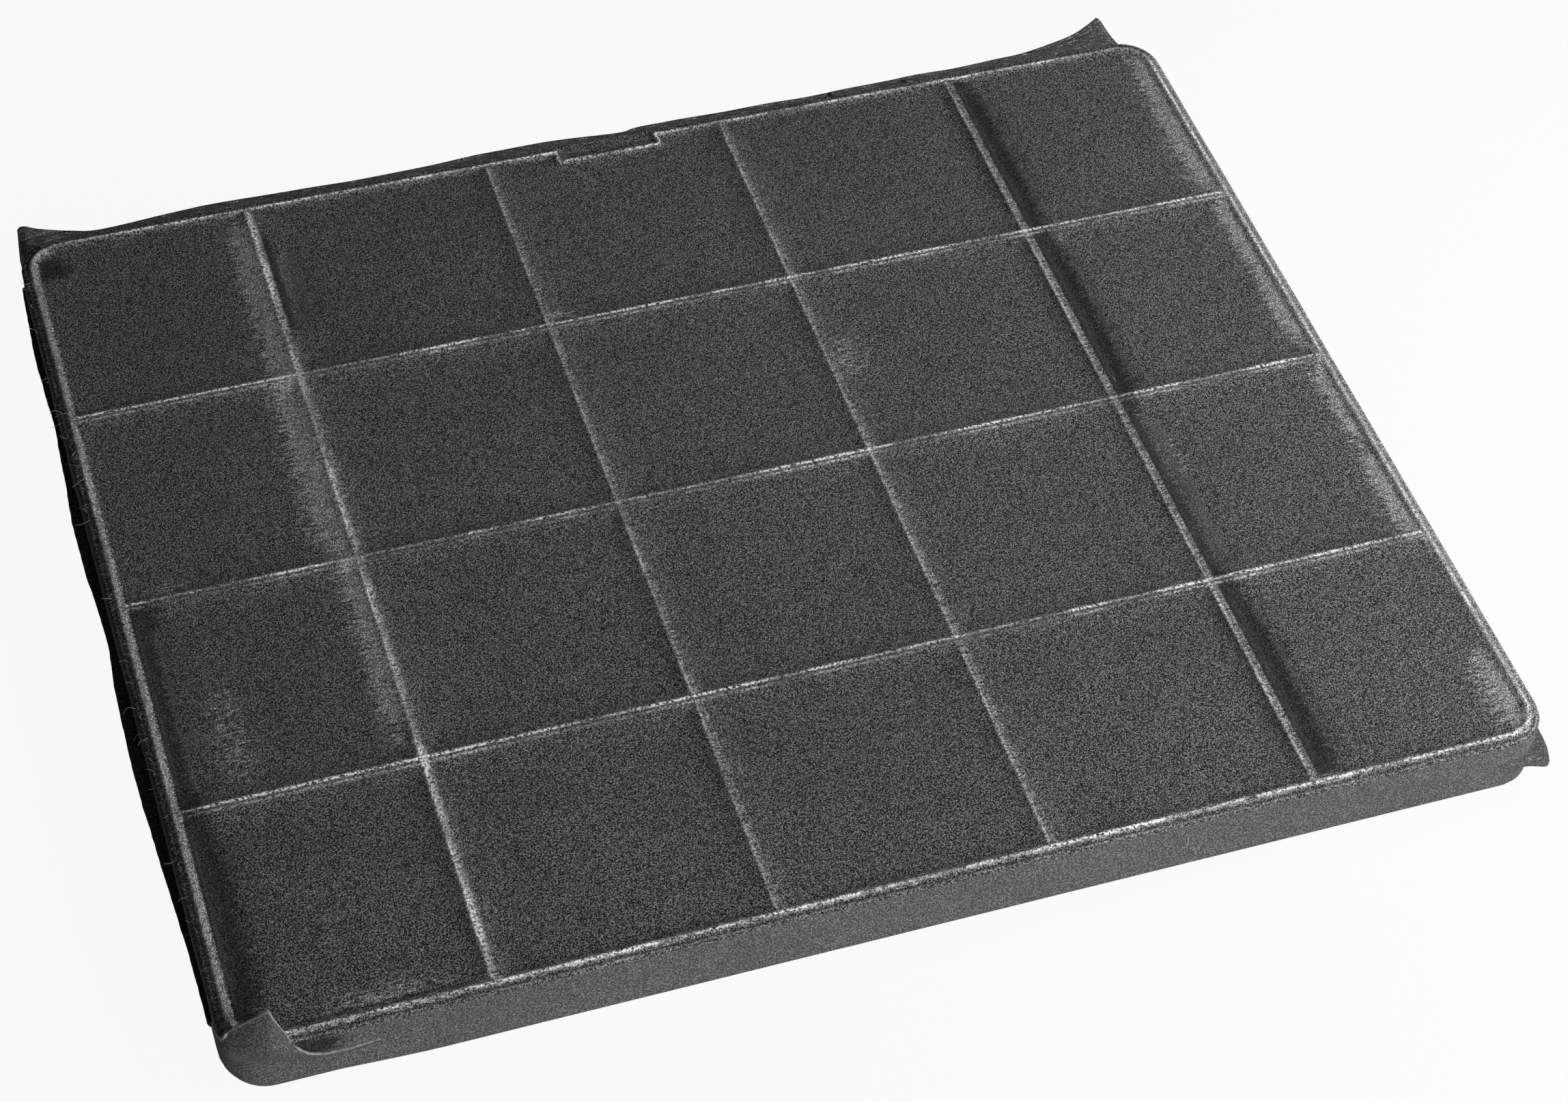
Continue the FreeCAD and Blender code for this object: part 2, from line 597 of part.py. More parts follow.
charges = []
for row in range(ROWS):
    for column in range(COLUMNS):
        name = f"charge_r{ROWS - row}_c{column + 1}"
        low_x = cell_side(column, COLUMNS, "x", "+")
        high_x = cell_side(column + 1, COLUMNS, "x", "-")
        low_y = cell_side(row, ROWS, "y", "+")
        high_y = cell_side(row + 1, ROWS, "y", "-")
        bed = doc.addObject("Part::Box", name + "_bed")
        for side, expression in {
            "Length": f"{high_x} - {low_x}", "Width": f"{high_y} - {low_y}",
            "Height": f"{FILL_TOP} - {FILL_BASE}", "Placement.Base.x": low_x,
            "Placement.Base.y": low_y, "Placement.Base.z": FILL_BASE,
        }.items():
            bed.setExpression(side, named(expression))
        if row in (0, ROWS - 1) and column in (0, COLUMNS - 1):
            rounded = doc.addObject("Part::Common", name + "_rounded")
            rounded.Base = bed
            rounded.Tool = fill_outline
            bed = rounded
        tools = fill_hollows.get((row, column + 1), [])
        if row == ROWS - 1 and column == COLUMNS // 2:
            tools = tools + [notch_clearance]
        if tools:
            bed = cut(bed, tools, name + "_cut")
        bed.Label = name
        charges.append(bed)

# Check and write

doc.recompute()
for item in doc.Objects:
    if "Invalid" in item.State or "Error" in item.State:
        raise RuntimeError(f"{item.Name} failed: {item.State}")
nodes = [tray, lid, cover] + charges
for node in nodes:
    if node.Shape.isNull() or not node.Shape.isValid() or len(node.Shape.Solids) != 1:
        raise RuntimeError(f"{node.Label} is not one sound solid")
os.makedirs("parts", exist_ok=True)
for node in nodes:
    node.Shape.exportStep(f"parts/{node.Label}.step")
    print(node.Label, len(node.Shape.Faces), "faces", round(node.Shape.Volume), "mm3")
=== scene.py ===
import math

import bmesh
import bpy
import numpy as np
from mathutils import Matrix, Vector


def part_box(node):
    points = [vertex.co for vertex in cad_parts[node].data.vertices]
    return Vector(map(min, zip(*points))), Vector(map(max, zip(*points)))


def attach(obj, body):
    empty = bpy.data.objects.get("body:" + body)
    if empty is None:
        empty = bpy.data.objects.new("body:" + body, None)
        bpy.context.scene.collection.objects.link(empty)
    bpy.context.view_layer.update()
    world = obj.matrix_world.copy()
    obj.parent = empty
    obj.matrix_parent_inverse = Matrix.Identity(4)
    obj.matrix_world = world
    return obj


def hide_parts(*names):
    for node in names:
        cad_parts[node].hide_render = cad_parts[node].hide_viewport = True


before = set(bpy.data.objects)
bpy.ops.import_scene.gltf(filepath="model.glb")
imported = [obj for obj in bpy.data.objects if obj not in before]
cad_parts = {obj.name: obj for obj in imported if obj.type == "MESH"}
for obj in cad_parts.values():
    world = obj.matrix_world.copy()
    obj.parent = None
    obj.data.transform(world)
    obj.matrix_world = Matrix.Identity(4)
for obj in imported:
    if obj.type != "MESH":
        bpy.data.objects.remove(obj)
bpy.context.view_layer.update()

# Cassette
# A tray moulded in black polypropylene, with twenty open cells and a wall with a ledge all
# round, and a grid lid let into it. The knit sleeve hides both, so only their lines show.


def new_material(name, **sockets):
    """A material and its surface shader, with these fixed values on the shader."""
    material = bpy.data.materials.new(name)
    material.use_nodes = True
    shader = material.node_tree.nodes["Principled BSDF"]
    for socket, value in sockets.items():
        shader.inputs[socket.replace("_", " ")].default_value = value
    return material, shader


def add_node(material, kind, inputs=None, **properties):
    """A node with its properties set, and each input given a value or linked from an output."""
    tree = material.node_tree
    node = tree.nodes.new(kind)
    for key, value in properties.items():
        setattr(node, key, value)
    for socket, value in (inputs or {}).items():
        if isinstance(value, bpy.types.NodeSocket):
            tree.links.new(value, node.inputs[socket])
        else:
            node.inputs[socket].default_value = value
    return node


def link(material, output, node, socket):
    material.node_tree.links.new(output, node.inputs[socket])


GRAIN_TURN = (0.6, 0.45, 0.3)


def grain(material, scale, detail=2.0, rough=0.5, twist=0.0, stretch=(1, 1, 1)):
    """Noise in the object's own metres: scale is in grains a metre. It is turned, so that no
    flat face lies along a plane of the noise, where it would fade."""
    place = add_node(material, "ShaderNodeTexCoord").outputs["Object"]
    place = add_node(material, "ShaderNodeMapping", {
        "Vector": place, "Scale": stretch, "Rotation": GRAIN_TURN}).outputs[0]
    return add_node(material, "ShaderNodeTexNoise", {
        "Vector": place, "Scale": scale, "Detail": detail, "Roughness": rough, "Distortion": twist})


def ramp(material, factor, low, high, dark=0.0, light=1.0):
    """Value that goes from dark to light while the factor goes from low to high."""
    return add_node(material, "ShaderNodeMapRange", {
        "Value": factor, "From Min": low, "From Max": high, "To Min": dark, "To Max": light}).outputs[0]


def blend(material, factor, first, second):
    """Colour between two colours."""
    node = add_node(material, "ShaderNodeMix", data_type="RGBA")
    for index, value in ((0, factor), (6, first), (7, second)):
        if isinstance(value, bpy.types.NodeSocket):
            material.node_tree.links.new(value, node.inputs[index])
        else:
            node.inputs[index].default_value = value
    return node.outputs[2]


def calc(material, operation, first, second):
    return add_node(material, "ShaderNodeMath", {0: first, 1: second}, operation=operation).outputs[0]


def grey(level):
    return (level, level, level * 1.02, 1.0)


def roughen(material, shader, height, strength, distance):
    bump = add_node(material, "ShaderNodeBump", {
        "Height": height, "Strength": strength, "Distance": distance})
    link(material, bump.outputs[0], shader, "Normal")


moulding, shader = new_material("moulded_black", Specular_IOR_Level=0.4)
pitting = grain(moulding, 2400, 3)
clouds = grain(moulding, 90, 2)
link(moulding, blend(moulding, clouds.outputs[0], grey(0.022), grey(0.040)), shader, "Base Color")
link(moulding, ramp(moulding, pitting.outputs[0], 0.3, 0.7, dark=0.42, light=0.62), shader, "Roughness")
roughen(moulding, shader, pitting.outputs[0], strength=0.3, distance=0.0001)
for name in ("tray", "lid"):
    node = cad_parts[name]
    node.data.materials.clear()
    node.data.materials.append(moulding)

# Carbon filling
# Every cell is filled to the brim with crushed carbon granules of one to two millimetres,
# poured in loose before the lid goes on. They have settled away from some of the walls.

granules, shader = new_material("carbon_granules", Specular_IOR_Level=0.35)
place = add_node(granules, "ShaderNodeTexCoord").outputs["Object"]
stones = add_node(granules, "ShaderNodeTexVoronoi", {"Vector": place, "Scale": 620.0})
dust = grain(granules, 3000, 3)
link(granules, blend(granules, stones.outputs["Color"], grey(0.008), grey(0.030)), shader, "Base Color")
link(granules, ramp(granules, dust.outputs[0], 0.3, 0.7, dark=0.5, light=0.9), shader, "Roughness")
heaped = calc(granules, "ADD", stones.outputs["Distance"],
              calc(granules, "MULTIPLY", dust.outputs[0], 0.2))
roughen(granules, shader, heaped, strength=0.9, distance=0.0008)
for name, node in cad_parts.items():
    if name.startswith("charge_"):
        node.data.materials.clear()
        node.data.materials.append(granules)

# Knit sleeve
# One sheet of fine black knit folded round the front edge of the cassette and pulled tight,
# so that the bead, the lip and every rib of the lid stand out through it. It sinks a little
# into each cell, and deeper along the walls where the granules have settled.

# Lengths in this section and the next two are in millimetres
MM = 0.001
CLOTH, CLOTH_GAP = 0.7, 0.1
HALF_X, HALF_Y = [round(reach / MM + CLOTH_GAP + CLOTH, 3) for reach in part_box("tray")[1][:2]]
TOP = round(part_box("lid")[1][2] / MM + CLOTH_GAP + CLOTH, 3)
CORNER = 9.8
COLUMN_PITCH, ROW_PITCH = 60.0, 58.0
COLUMN_RIBS = [COLUMN_PITCH * step for step in (-1.5, -0.5, 0.5, 1.5)]
ROW_RIBS = [ROW_PITCH * step for step in (-1, 0, 1)]

# Height of the cloth by its distance in from the outer wall: lip, groove, ridge and cell
EDGE = [(0.0, 14.4), (0.15, 14.9), (0.40, 15.2), (0.75, 15.40), (1.10, 15.38), (1.45, 15.2),
        (1.75, 15.46), (2.10, 15.86), (2.55, 16.0), (3.00, 15.94), (3.35, 15.70), (3.75, 15.38),
        (4.2, 15.2), (5.0, 15.14)]
LIP_IN, CREST_IN = 1.5, 2.6
# Drop of the cloth beside a rib, by the distance from the rib's middle line
RIB = [(0.0, 0.07), (0.45, 0.03), (0.75, 0.0), (1.00, 0.07), (1.70, 0.26), (2.60, 0.46), (3.90, 0.64),
       (5.7, 0.78), (8.0, 0.84)]
# The same two on the underside, as heights over the floor
BASE_EDGE = [(0.0, 1.2), (0.15, 0.6), (0.40, 0.25), (0.80, 0.06), (1.30, 0.0), (3.9, 0.0), (4.8, 0.3),
             (5.5, 0.4)]
BASE_RIB = [(0.0, 0.0), (0.8, 0.0), (1.4, 0.25), (2.2, 0.38), (3.0, 0.4)]
# Height of the cloth by its distance out from the notch, whose low floor is at the start
NOTCH = [(-0.9, 15.25), (-0.3, 15.35), (0.25, 15.90), (0.80, 16.0), (1.40, 15.75), (2.0, 15.3), (2.6, 15.1)]
NOTCH_HALF, NOTCH_FRONT, NOTCH_REACH = 12.0, 113.0, 2.6

# Settled places: left end of the hollow, its middle from front to back, half its length
HOLLOWS = [(91.9, 87.0, 27.0), (91.9, 29.0, 26.0), (91.9, -29.0, 25.5), (91.9, -86.0, 24.4),
           (-141.5, -29.0, 27.0), (-141.5, -84.0, 24.0), (-88.1, 88.0, 14.5)]
HOLLOW_DEPTH = 1.3
# A hollow falls steeply beside its wall, rises slowly from a narrow floor and runs out at its ends
HOLLOW_FALL, HOLLOW_FLOOR, HOLLOW_RISE, HOLLOW_END = 1.1, 1.6, 6.2, 7.0
# Waves of the free cloth over the cells and along the walls: length, height and seed
CELL_WAVES = [(34, 0.10, 3), (9, 0.05, 5)]
LONG_SWAY, SHORT_SWAY = (34, 1.0, 14), (9, 0.3, 15)


def ease(t):
    t = np.clip(t, 0.0, 1.0)
    return t * t * (3 - 2 * t)


RIPPLE_WAVES, RIPPLE_PEAK = 7, 3.2


def ripple(x, y, size, seed):
    """Smooth uneven field between about -1 and 1, with features of that size."""
    rng = np.random.default_rng(seed)
    total = np.zeros(np.broadcast(x, y).shape)
    for _ in range(RIPPLE_WAVES):
        angle, phase = rng.uniform(0, 2 * math.pi, 2)
        wave = 2 * math.pi / (size * rng.uniform(0.7, 1.6))
        total = total + np.sin((x * math.cos(angle) + y * math.sin(angle)) * wave + phase)
    return total / RIPPLE_PEAK


def waves(x, y, layers):
    """Sum of ripples, each given by its length, height and seed."""
    return sum(height * ripple(x, y, length, seed) for length, height, seed in layers)


def inset(x, y):
    """Distance in from the sleeve's outer wall."""
    qx = np.abs(x) - (HALF_X - CORNER)
    qy = np.abs(y) - (HALF_Y - CORNER)
    corner = np.hypot(np.maximum(qx, 0), np.maximum(qy, 0))
    return CORNER - corner - np.minimum(np.maximum(qx, qy), 0)


def to_rib(value, ribs):
    """Distance to the nearest rib's middle line, and the side that it lies on."""
    offsets = np.stack([value - rib for rib in ribs])
    nearest = np.argmin(np.abs(offsets), axis=0)
    signed = np.take_along_axis(offsets, nearest[None], axis=0)[0]
    return np.abs(signed), np.sign(signed)


def from_notch(x, y):
    """Distance from the finger notch, which interrupts the ridge at the back."""
    side, front = np.abs(x) - NOTCH_HALF, NOTCH_FRONT - y
    return np.where((side > 0) & (front > 0), np.hypot(side, front), np.maximum(side, front))


def profile(distance, stations):
    """Height at a distance, on straight lines between (distance, height) stations."""
    return np.interp(distance, *zip(*stations))


def beside_ribs(x, y, stations):
    """The lower of the profiles across the nearest column rib and across the nearest row rib."""
    return np.minimum(profile(to_rib(x, COLUMN_RIBS)[0], stations),
                      profile(to_rib(y, ROW_RIBS)[0], stations))


def hollow(x, y, start, middle, half):
    """Depth of a settled place, from 0 outside it to 1 on its floor."""
    s = x - start + 0.3 * ripple(x, y, 21, 8)
    sideways = ease(s / HOLLOW_FALL) * (1 - ease((s - HOLLOW_FLOOR) / HOLLOW_RISE))
    return sideways * ease((half - np.abs(y - middle)) / HOLLOW_END + 0.1)


def top_height(x, y):
    d, away = inset(x, y), from_notch(x, y)
    edge, drop = profile(d, EDGE), beside_ribs(x, y, RIB)
    z = np.where(d < CREST_IN, edge, np.maximum(edge, TOP - drop))
    free = ease((drop - 0.2) / 0.4) * ease((d - 4.0) / 2.0)
    z = z + free * waves(x, y, CELL_WAVES)
    for place in HOLLOWS:
        z = z - HOLLOW_DEPTH * hollow(x, y, *place) * free * (1 + 0.12 * ripple(x, y, 17, 9))
    rim = profile(away, NOTCH)
    return np.where((d < LIP_IN) | (away > NOTCH_REACH), z, np.where(away < 0, rim, np.maximum(z, rim)))


def drawn_up(x, y, rise=1.9):
    """Rise of the lower edge at the front left corner, where the folded ear pulls at it."""
    return rise * ease((-100 - x) / 36) * ease((-104 - y) / 9)


def base_height(x, y):
    d = inset(x, y)
    edge = profile(d, BASE_EDGE)
    z = np.where(d < CREST_IN, edge, np.minimum(edge, beside_ribs(x, y, BASE_RIB)))
    return z + drawn_up(x, y) * ease(1 - d / 5)


# Grid lines over the edge lie this far apart, over this width, and none lie closer than this
EDGE_STEP, EDGE_WIDTH, CLOSEST = 0.28, 5.2, 0.15


def cloth_lines(half, ribs, steps, widest, notch=()):
    """Grid lines, close together over the edge, ribs and notch and wider over the cells."""
    marks = [side * (half - step) for side in (-1, 1) for step in np.arange(0.0, EDGE_WIDTH, EDGE_STEP)]
    marks += notch
    marks += [rib + side * step for rib in ribs for side in (-1, 1) for step in steps]
    marks = sorted(set(round(mark, 3) for mark in marks))
    lines = [marks[0]]
    for mark in marks[1:]:
        gap = mark - lines[-1]
        if gap < CLOSEST:
            continue
        parts = max(1, math.ceil(gap / widest))
        lines += [lines[-1] + gap * (i + 1) / parts for i in range(parts)]
    return np.array(lines)


def round_plan(x, y, half_x, half_y, radius):
    """Moves the points of a square-cornered grid into the same outline with round corners."""
    u = np.maximum(np.abs(x) - (half_x - radius), 0) / radius
    v = np.maximum(np.abs(y) - (half_y - radius), 0) / radius
    both = (u > 0) & (v > 0)
    new_x = np.where(both, np.sign(x) * (half_x - radius + radius * u * np.sqrt(1 - v * v / 2)), x)
    new_y = np.where(both, np.sign(y) * (half_y - radius + radius * v * np.sqrt(1 - u * u / 2)), y)
    return new_x, new_y


# The grids of top and base end this far in from the wall, and the wall's rings are set from there
GRID_IN = 0.4
# The wall sways in full from this far above the base and below the top, and the lower edge's
# rise at the pulled corner is spent at this height
SWAY_FROM, RISE_END = 3.0, 9.0


def wall_ring(edge, out, distance, height, sway):
    """Ring of points round the wall, this far in from its outside, swaying in and out."""
    x, y = edge.T
    reach = sway * (waves(x + y, y + height, [LONG_SWAY]) + waves(x, y + height, [SHORT_SWAY]))
    reach = reach * ease(min(height, TOP - height) / SWAY_FROM)
    ring = edge + out * (GRID_IN - distance + reach[:, None])
    rise = drawn_up(ring[:, 0], ring[:, 1]) * max(0, 1 - height / RISE_END)
    return np.column_stack([ring, height + rise])


def closed_cloth(lines_x, lines_y, half_x, half_y, radius, wall, lift, sway, inwards):
    """Vertices and faces of one side of the cloth: top and base grids joined by the wall.
    wall is a list of (distance in, height) from the top edge down to the base edge."""
    gx, gy = np.meshgrid(lines_x, lines_y)
    px, py = round_plan(gx, gy, half_x, half_y, radius)
    rows, columns = px.shape
    top = np.stack([px, py, top_height(px, py) - lift], axis=-1).reshape(-1, 3)
    base = np.stack([px, py, base_height(px, py) + lift], axis=-1).reshape(-1, 3)
    index = np.arange(rows * columns).reshape(rows, columns)
    loop = np.concatenate([index[0, :-1], index[:-1, -1], index[-1, :0:-1], index[:0:-1, 0]])
    edge = top[loop, :2]
    q = np.maximum(np.abs(edge) - np.array([half_x - radius, half_y - radius]), 0)
    out = np.sign(edge) * q / np.linalg.norm(q, axis=1, keepdims=True)
    rings = [wall_ring(edge, out, distance, height, sway) for distance, height in wall]
    quads = np.stack([index[:-1, :-1], index[:-1, 1:], index[1:, 1:], index[1:, :-1]], axis=-1)
    quads = quads.reshape(-1, 4)
    faces = quads.tolist() + (quads[:, ::-1] + rows * columns).tolist()
    first_ring = 2 * rows * columns + np.arange(len(loop))
    levels = [loop, *[first_ring + k * len(loop) for k in range(len(rings))], loop + rows * columns]
    for upper, lower in zip(levels, levels[1:]):
        faces += np.stack([upper, lower, np.roll(lower, -1), np.roll(upper, -1)], axis=-1).tolist()
    if inwards:
        faces = [face[::-1] for face in faces]
    return np.concatenate([top, base, *rings]), faces


def line_at(value, place, width):
    """1 on a line at that place, falling off smoothly over that width on both sides."""
    return np.exp(-((value - place) / width) ** 2)


# The ridge and the lip along one edge of the sleeve reach this far in
ALONG_EDGE = 6


def along_edges(x, y):
    """Whether a point lies along the left, the right, the front and the back edge."""
    return (x < -HALF_X + ALONG_EDGE, x > HALF_X - ALONG_EDGE,
            y < -HALF_Y + ALONG_EDGE, y > HALF_Y - ALONG_EDGE)


# How strongly the crests are rubbed pale: the left and the right side of a column rib, the front
# and the back side of a row rib, the whole width of the first column rib, the ridge and the lip
# along each edge, and the rim of the notch
COLUMN_WEAR, ROW_WEAR = (0.35, 0.05), (0.40, 1.35)
FIRST_RIB_WEAR, FIRST_RIB_END = 0.6, -80
RIDGE_WEAR = {"front": 1.25, "right": 0.55, "back": 0.9, "left": 0.5}
LIP_WEAR = {"front": 0.2, "right": 0.1, "other": 0.0}
NOTCH_WEAR = 0.65
# Wear shows on the top only, above this height, and the ribs' own wear begins this far in
TOP_FROM, RIBS_FROM = 14.6, 3.6


def crest_wear(points):
    """How far the cloth is rubbed to pale broken lines: the edges of ribs, ridge and lip."""
    x, y, z = points.T
    d, away = inset(x, y), from_notch(x, y)
    column, column_side = to_rib(x, COLUMN_RIBS)
    row, row_side = to_rib(y, ROW_RIBS)
    on_column = np.where(column_side < 0, *COLUMN_WEAR) * line_at(column, 0.62, 0.30)
    on_column = on_column + FIRST_RIB_WEAR * (x < FIRST_RIB_END) * line_at(column, 0.1, 0.6)
    on_row = np.where(row_side < 0, *ROW_WEAR) * line_at(row, 0.66, 0.34) * (1.0 + 0.1 * x / HALF_X)
    field = np.where(d > RIBS_FROM, np.maximum(on_column, on_row), 0)
    _, right, front, back = along_edges(x, y)
    front_wear = RIDGE_WEAR["front"] - 0.35 * x / HALF_X
    on_ridge = np.select([front, right, back], [front_wear, RIDGE_WEAR["right"], RIDGE_WEAR["back"]],
                         RIDGE_WEAR["left"]) * line_at(d, np.where(back, 2.75, 2.45), 0.32)
    on_lip = np.select([front, right], [LIP_WEAR["front"], LIP_WEAR["right"]],
                       LIP_WEAR["other"]) * line_at(d, 0.75, 0.25)
    round_notch = NOTCH_WEAR * line_at(away, 0.9, 0.36) * (d > 2.2)
    edge = np.maximum(np.where(away < 0.4, 0, np.maximum(on_ridge, on_lip)), round_notch)
    return np.where(z > TOP_FROM, np.maximum(field, edge), 0)


# Worn patches and patches of painted shade beside ribs and walls: middle, half its width and half its
# length, in millimetres, then how pale it is, or below zero how dark the painted shade in the settled
# hollows is
PATCHES = [
    (-93.2, 84, 2.9, 29, 1.60), (-93.7, 29, 3.5, 28, 1.75), (-92.9, -24, 2.4, 26, 1.35),
    (140.6, 100, 2.7, 12, 1.70), (140.4, 74, 3.1, 16, 1.60), (140.8, 45, 1.8, 11, 1.40),
    (140.6, 20, 2.4, 14, 1.55), (140.8, -14, 1.7, 13, 1.35), (140.6, -44, 2.6, 14, 1.60),
    (139.8, -104, 3.1, 12, 1.60), (-112, -111.8, 14, 2.0, 0.80), (-133, 4, 6, 1.6, 0.65),
    (-138.5, 108, 3.4, 4.0, -2.2), (-139.2, -3.5, 2.8, 3.6, -2.4), (-139.8, -56, 2.0, 3, -1.8),
    (-140.9, -30, 2.4, 28, -2.7), (-140.6, -86, 4.0, 30, -3.0), (-88.3, 89, 1.4, 17, -2.7),
    (92.3, 87.5, 3.3, 28.5, -3.6), (92.5, 29, 3.5, 28.5, -3.6), (91.6, -29, 2.2, 28, -3.2),
    (92.5, -87, 3.5, 28.5, -3.6), (-127.5, -40, 3.6, 14, 0.50), (98.5, 60, 2.6, 8, 0.60),
    (35.0, 30, 4.0, 7, 0.55), (-26, 61.5, 5, 1.6, 0.60), (98.4, -20, 2.0, 8, 0.50),
]

# Nap of the ridge along each edge and of the ribs, rubbed grey above zero, and painted shade below zero
# on the left wall, which the lamps leave unlit, and in a pocket in the front wall behind the ear
RIDGE_NAP = {"left": 1.25, "right": 1.4, "front": 0.5, "back": 0.2}
RIB_NAP, LEFT_WALL_SHADE, POCKET_SHADE = 0.75, -1.0, -3.0
POCKET_X, POCKET_Z = -128.5, 12.6
# Patches lie above this height, a rib's nap is this wide on each side and starts this far in,
# and the rubbed ridge ends this far in and fades towards the right edge's ends over this length
PATCH_FROM, RIB_WIDTH, RIB_FROM, RIDGE_END, RIDGE_FADE = 13, 1.1, 3.4, 4.2, 14
# The lip takes the wall's value, the painted shade of the left wall and of the pocket, all the way up on the
# left and up to the first of these heights on the other sides, and everything below the second takes it
SIDE_TOP, WALL_TOP = 15.0, 12.0


def nap_state(points):
    """Above zero where the nap is rubbed grey, below zero where painted shade darkens it: the settled
    hollows, the left wall and the pocket behind the ear.
    """
    x, y, z = points.T
    d = inset(x, y)
    state = np.zeros(len(points))
    for middle_x, middle_y, half_x, half_y, strength in PATCHES:
        reach = np.abs((x - middle_x) / half_x) ** 1.6 + ((y - middle_y) / half_y) ** 6
        state = state + strength * np.exp(-reach) * (z > PATCH_FROM)
    column, side = to_rib(x, COLUMN_RIBS)
    band = RIB_NAP * np.exp(-(column * side + 0.1) ** 4)
    state = np.where((d > RIB_FROM) & (column < RIB_WIDTH), np.maximum(state, band), state)
    left, right, front, _ = along_edges(x, y)
    right_nap = RIDGE_NAP["right"] * ease((HALF_Y - np.abs(y)) / RIDGE_FADE)
    ridge = np.select([left, right, front], [RIDGE_NAP["left"], right_nap, RIDGE_NAP["front"]],
                      RIDGE_NAP["back"])
    middle, width = np.where(right, 2.2, 2.75), np.where(right, 1.8, 1.15)
    crest = ridge * np.exp(-((d - middle) / width) ** 4)
    state = np.where((z > TOP_FROM) & (d < RIDGE_END), np.maximum(state, crest), state)
    # Painted shade: the pocket in the front wall behind the ear and the whole left wall are painted black
    pocket = POCKET_SHADE * line_at(x, POCKET_X, 5.5) * line_at(z, POCKET_Z, 2.4) * front
    wall = np.where(left & (y > -HALF_Y + 8), LEFT_WALL_SHADE, pocket)
    on_wall = (d < LIP_IN) & (left | (z < SIDE_TOP))
    return np.where(on_wall | (z < WALL_TOP), wall, state)


def plain_mesh(name, points, faces, material, **marks):
    """Object at the origin with its place in its mesh, given in millimetres."""
    mesh = bpy.data.meshes.new(name)
    mesh.from_pydata((np.asarray(points) * MM).tolist(), [], faces)
    mesh.polygons.foreach_set("use_smooth", [True] * len(mesh.polygons))
    for mark, values in marks.items():
        layer = mesh.attributes.new(mark, "FLOAT", "POINT")
        layer.data.foreach_set("value", np.asarray(values, np.float32))
    mesh.materials.append(material)
    item = bpy.data.objects.new(name, mesh)
    bpy.context.scene.collection.objects.link(item)
    return item


def knit_material(name, dark, light, pale):
    """Fine black knit: worm-like loops of half a millimetre, grey where the nap is rubbed,
    near black where painted shade darkens it, and broken pale lines on the crests."""
    cloth, shader = new_material(name, Roughness=0.9, Specular_IOR_Level=0.12, Sheen_Weight=0.04,
                                 Sheen_Roughness=0.5, Sheen_Tint=grey(0.5))
    loops = grain(cloth, 3300, 1.0, 0.5, twist=0.3)
    yarn = grain(cloth, 6500, 1.0)
    clouds = grain(cloth, 26, 3, 0.6)
    weave = calc(cloth, "ADD", calc(cloth, "MULTIPLY", loops.outputs[0], 0.8),
                 calc(cloth, "MULTIPLY", yarn.outputs[0], 0.2))
    fleck = ramp(cloth, weave, 0.455, 0.66)
    tone = blend(cloth, fleck, grey(dark), grey(light))
    shade = ramp(cloth, clouds.outputs[0], 0.30, 0.62, dark=0.14, light=0.0)
    tone = blend(cloth, shade, tone, grey(0.016))

    # Rubbed stretches and stretches of painted shade, whose borders are broken up by strokes along the
    # cassette
    nap = add_node(cloth, "ShaderNodeAttribute", attribute_name="nap").outputs["Fac"]
    strokes = grain(cloth, 1.0, 3, 0.65, 0.4, (380.0, 1700.0, 1700.0))
    loose = calc(cloth, "MULTIPLY", calc(cloth, "SUBTRACT", strokes.outputs[0], 0.5), 5.0)
    rubbed = calc(cloth, "MULTIPLY", ramp(cloth, nap, 0.03, 0.3),
                  ramp(cloth, calc(cloth, "ADD", nap, calc(cloth, "MULTIPLY", loose, 0.8)), 0.30, 0.95))
    streaks = ramp(cloth, strokes.outputs[0], 0.38, 0.62, dark=0.45, light=1.1)
    rubbed = calc(cloth, "MULTIPLY", rubbed, streaks)
    tone = blend(cloth, rubbed, tone, blend(cloth, fleck, grey(0.085), grey(0.56)))
    # Painted shade: below zero the knit is painted near black, in the settled hollows, on the left wall, the
    # left seam and the pocket behind the ear
    painted_shade = calc(cloth, "MULTIPLY", nap, -1.0)
    painted_shade_mask = calc(cloth, "MULTIPLY", ramp(cloth, painted_shade, 0.03, 0.3),
                  ramp(cloth, calc(cloth, "SUBTRACT", painted_shade, calc(cloth, "MULTIPLY", loose, 0.7)), 0.2, 1.4))
    tone = blend(cloth, painted_shade_mask, tone, blend(cloth, fleck, grey(0.005), grey(0.060)))

    # Pale dots on the crests, in stretches
    wear = add_node(cloth, "ShaderNodeAttribute", attribute_name="wear").outputs["Fac"]
    dots = grain(cloth, 1700, 2.0, 0.6)
    stretches = grain(cloth, 55, 2.5, 0.6)
    torn = calc(cloth, "MULTIPLY", ramp(cloth, dots.outputs[0], 0.42, 0.60),
                ramp(cloth, stretches.outputs[0], 0.42, 0.66, dark=0.32, light=2.0))
    crest = add_node(cloth, "ShaderNodeMath", {0: wear, 1: torn}, operation="MULTIPLY", use_clamp=True)
    tone = blend(cloth, crest.outputs[0], tone, grey(pale))
    link(cloth, tone, shader, "Base Color")
    roughen(cloth, shader, weave, strength=0.8, distance=0.0003)
    return cloth


knit = knit_material("black_knit", dark=0.006, light=0.250, pale=0.85)
# A paler copy of the knit for the walls: painted light that makes them brighter than the top
wall_knit_painted_light = knit_material("wall_knit_painted_light", dark=0.040, light=0.215, pale=0.85)

# Grid lines beside a rib and out from the notch, and the widest gap between any two
RIB_STEPS = [0.0, 0.30, 0.50, 0.68, 0.90, 1.2, 1.6, 2.1, 2.8, 3.9, 5.6, 8.0]
NOTCH_STEPS = [-0.9, -0.3, 0.25, 0.55, 0.9, 1.25, 1.6, 2.1, 2.7]
WIDEST = 3.6
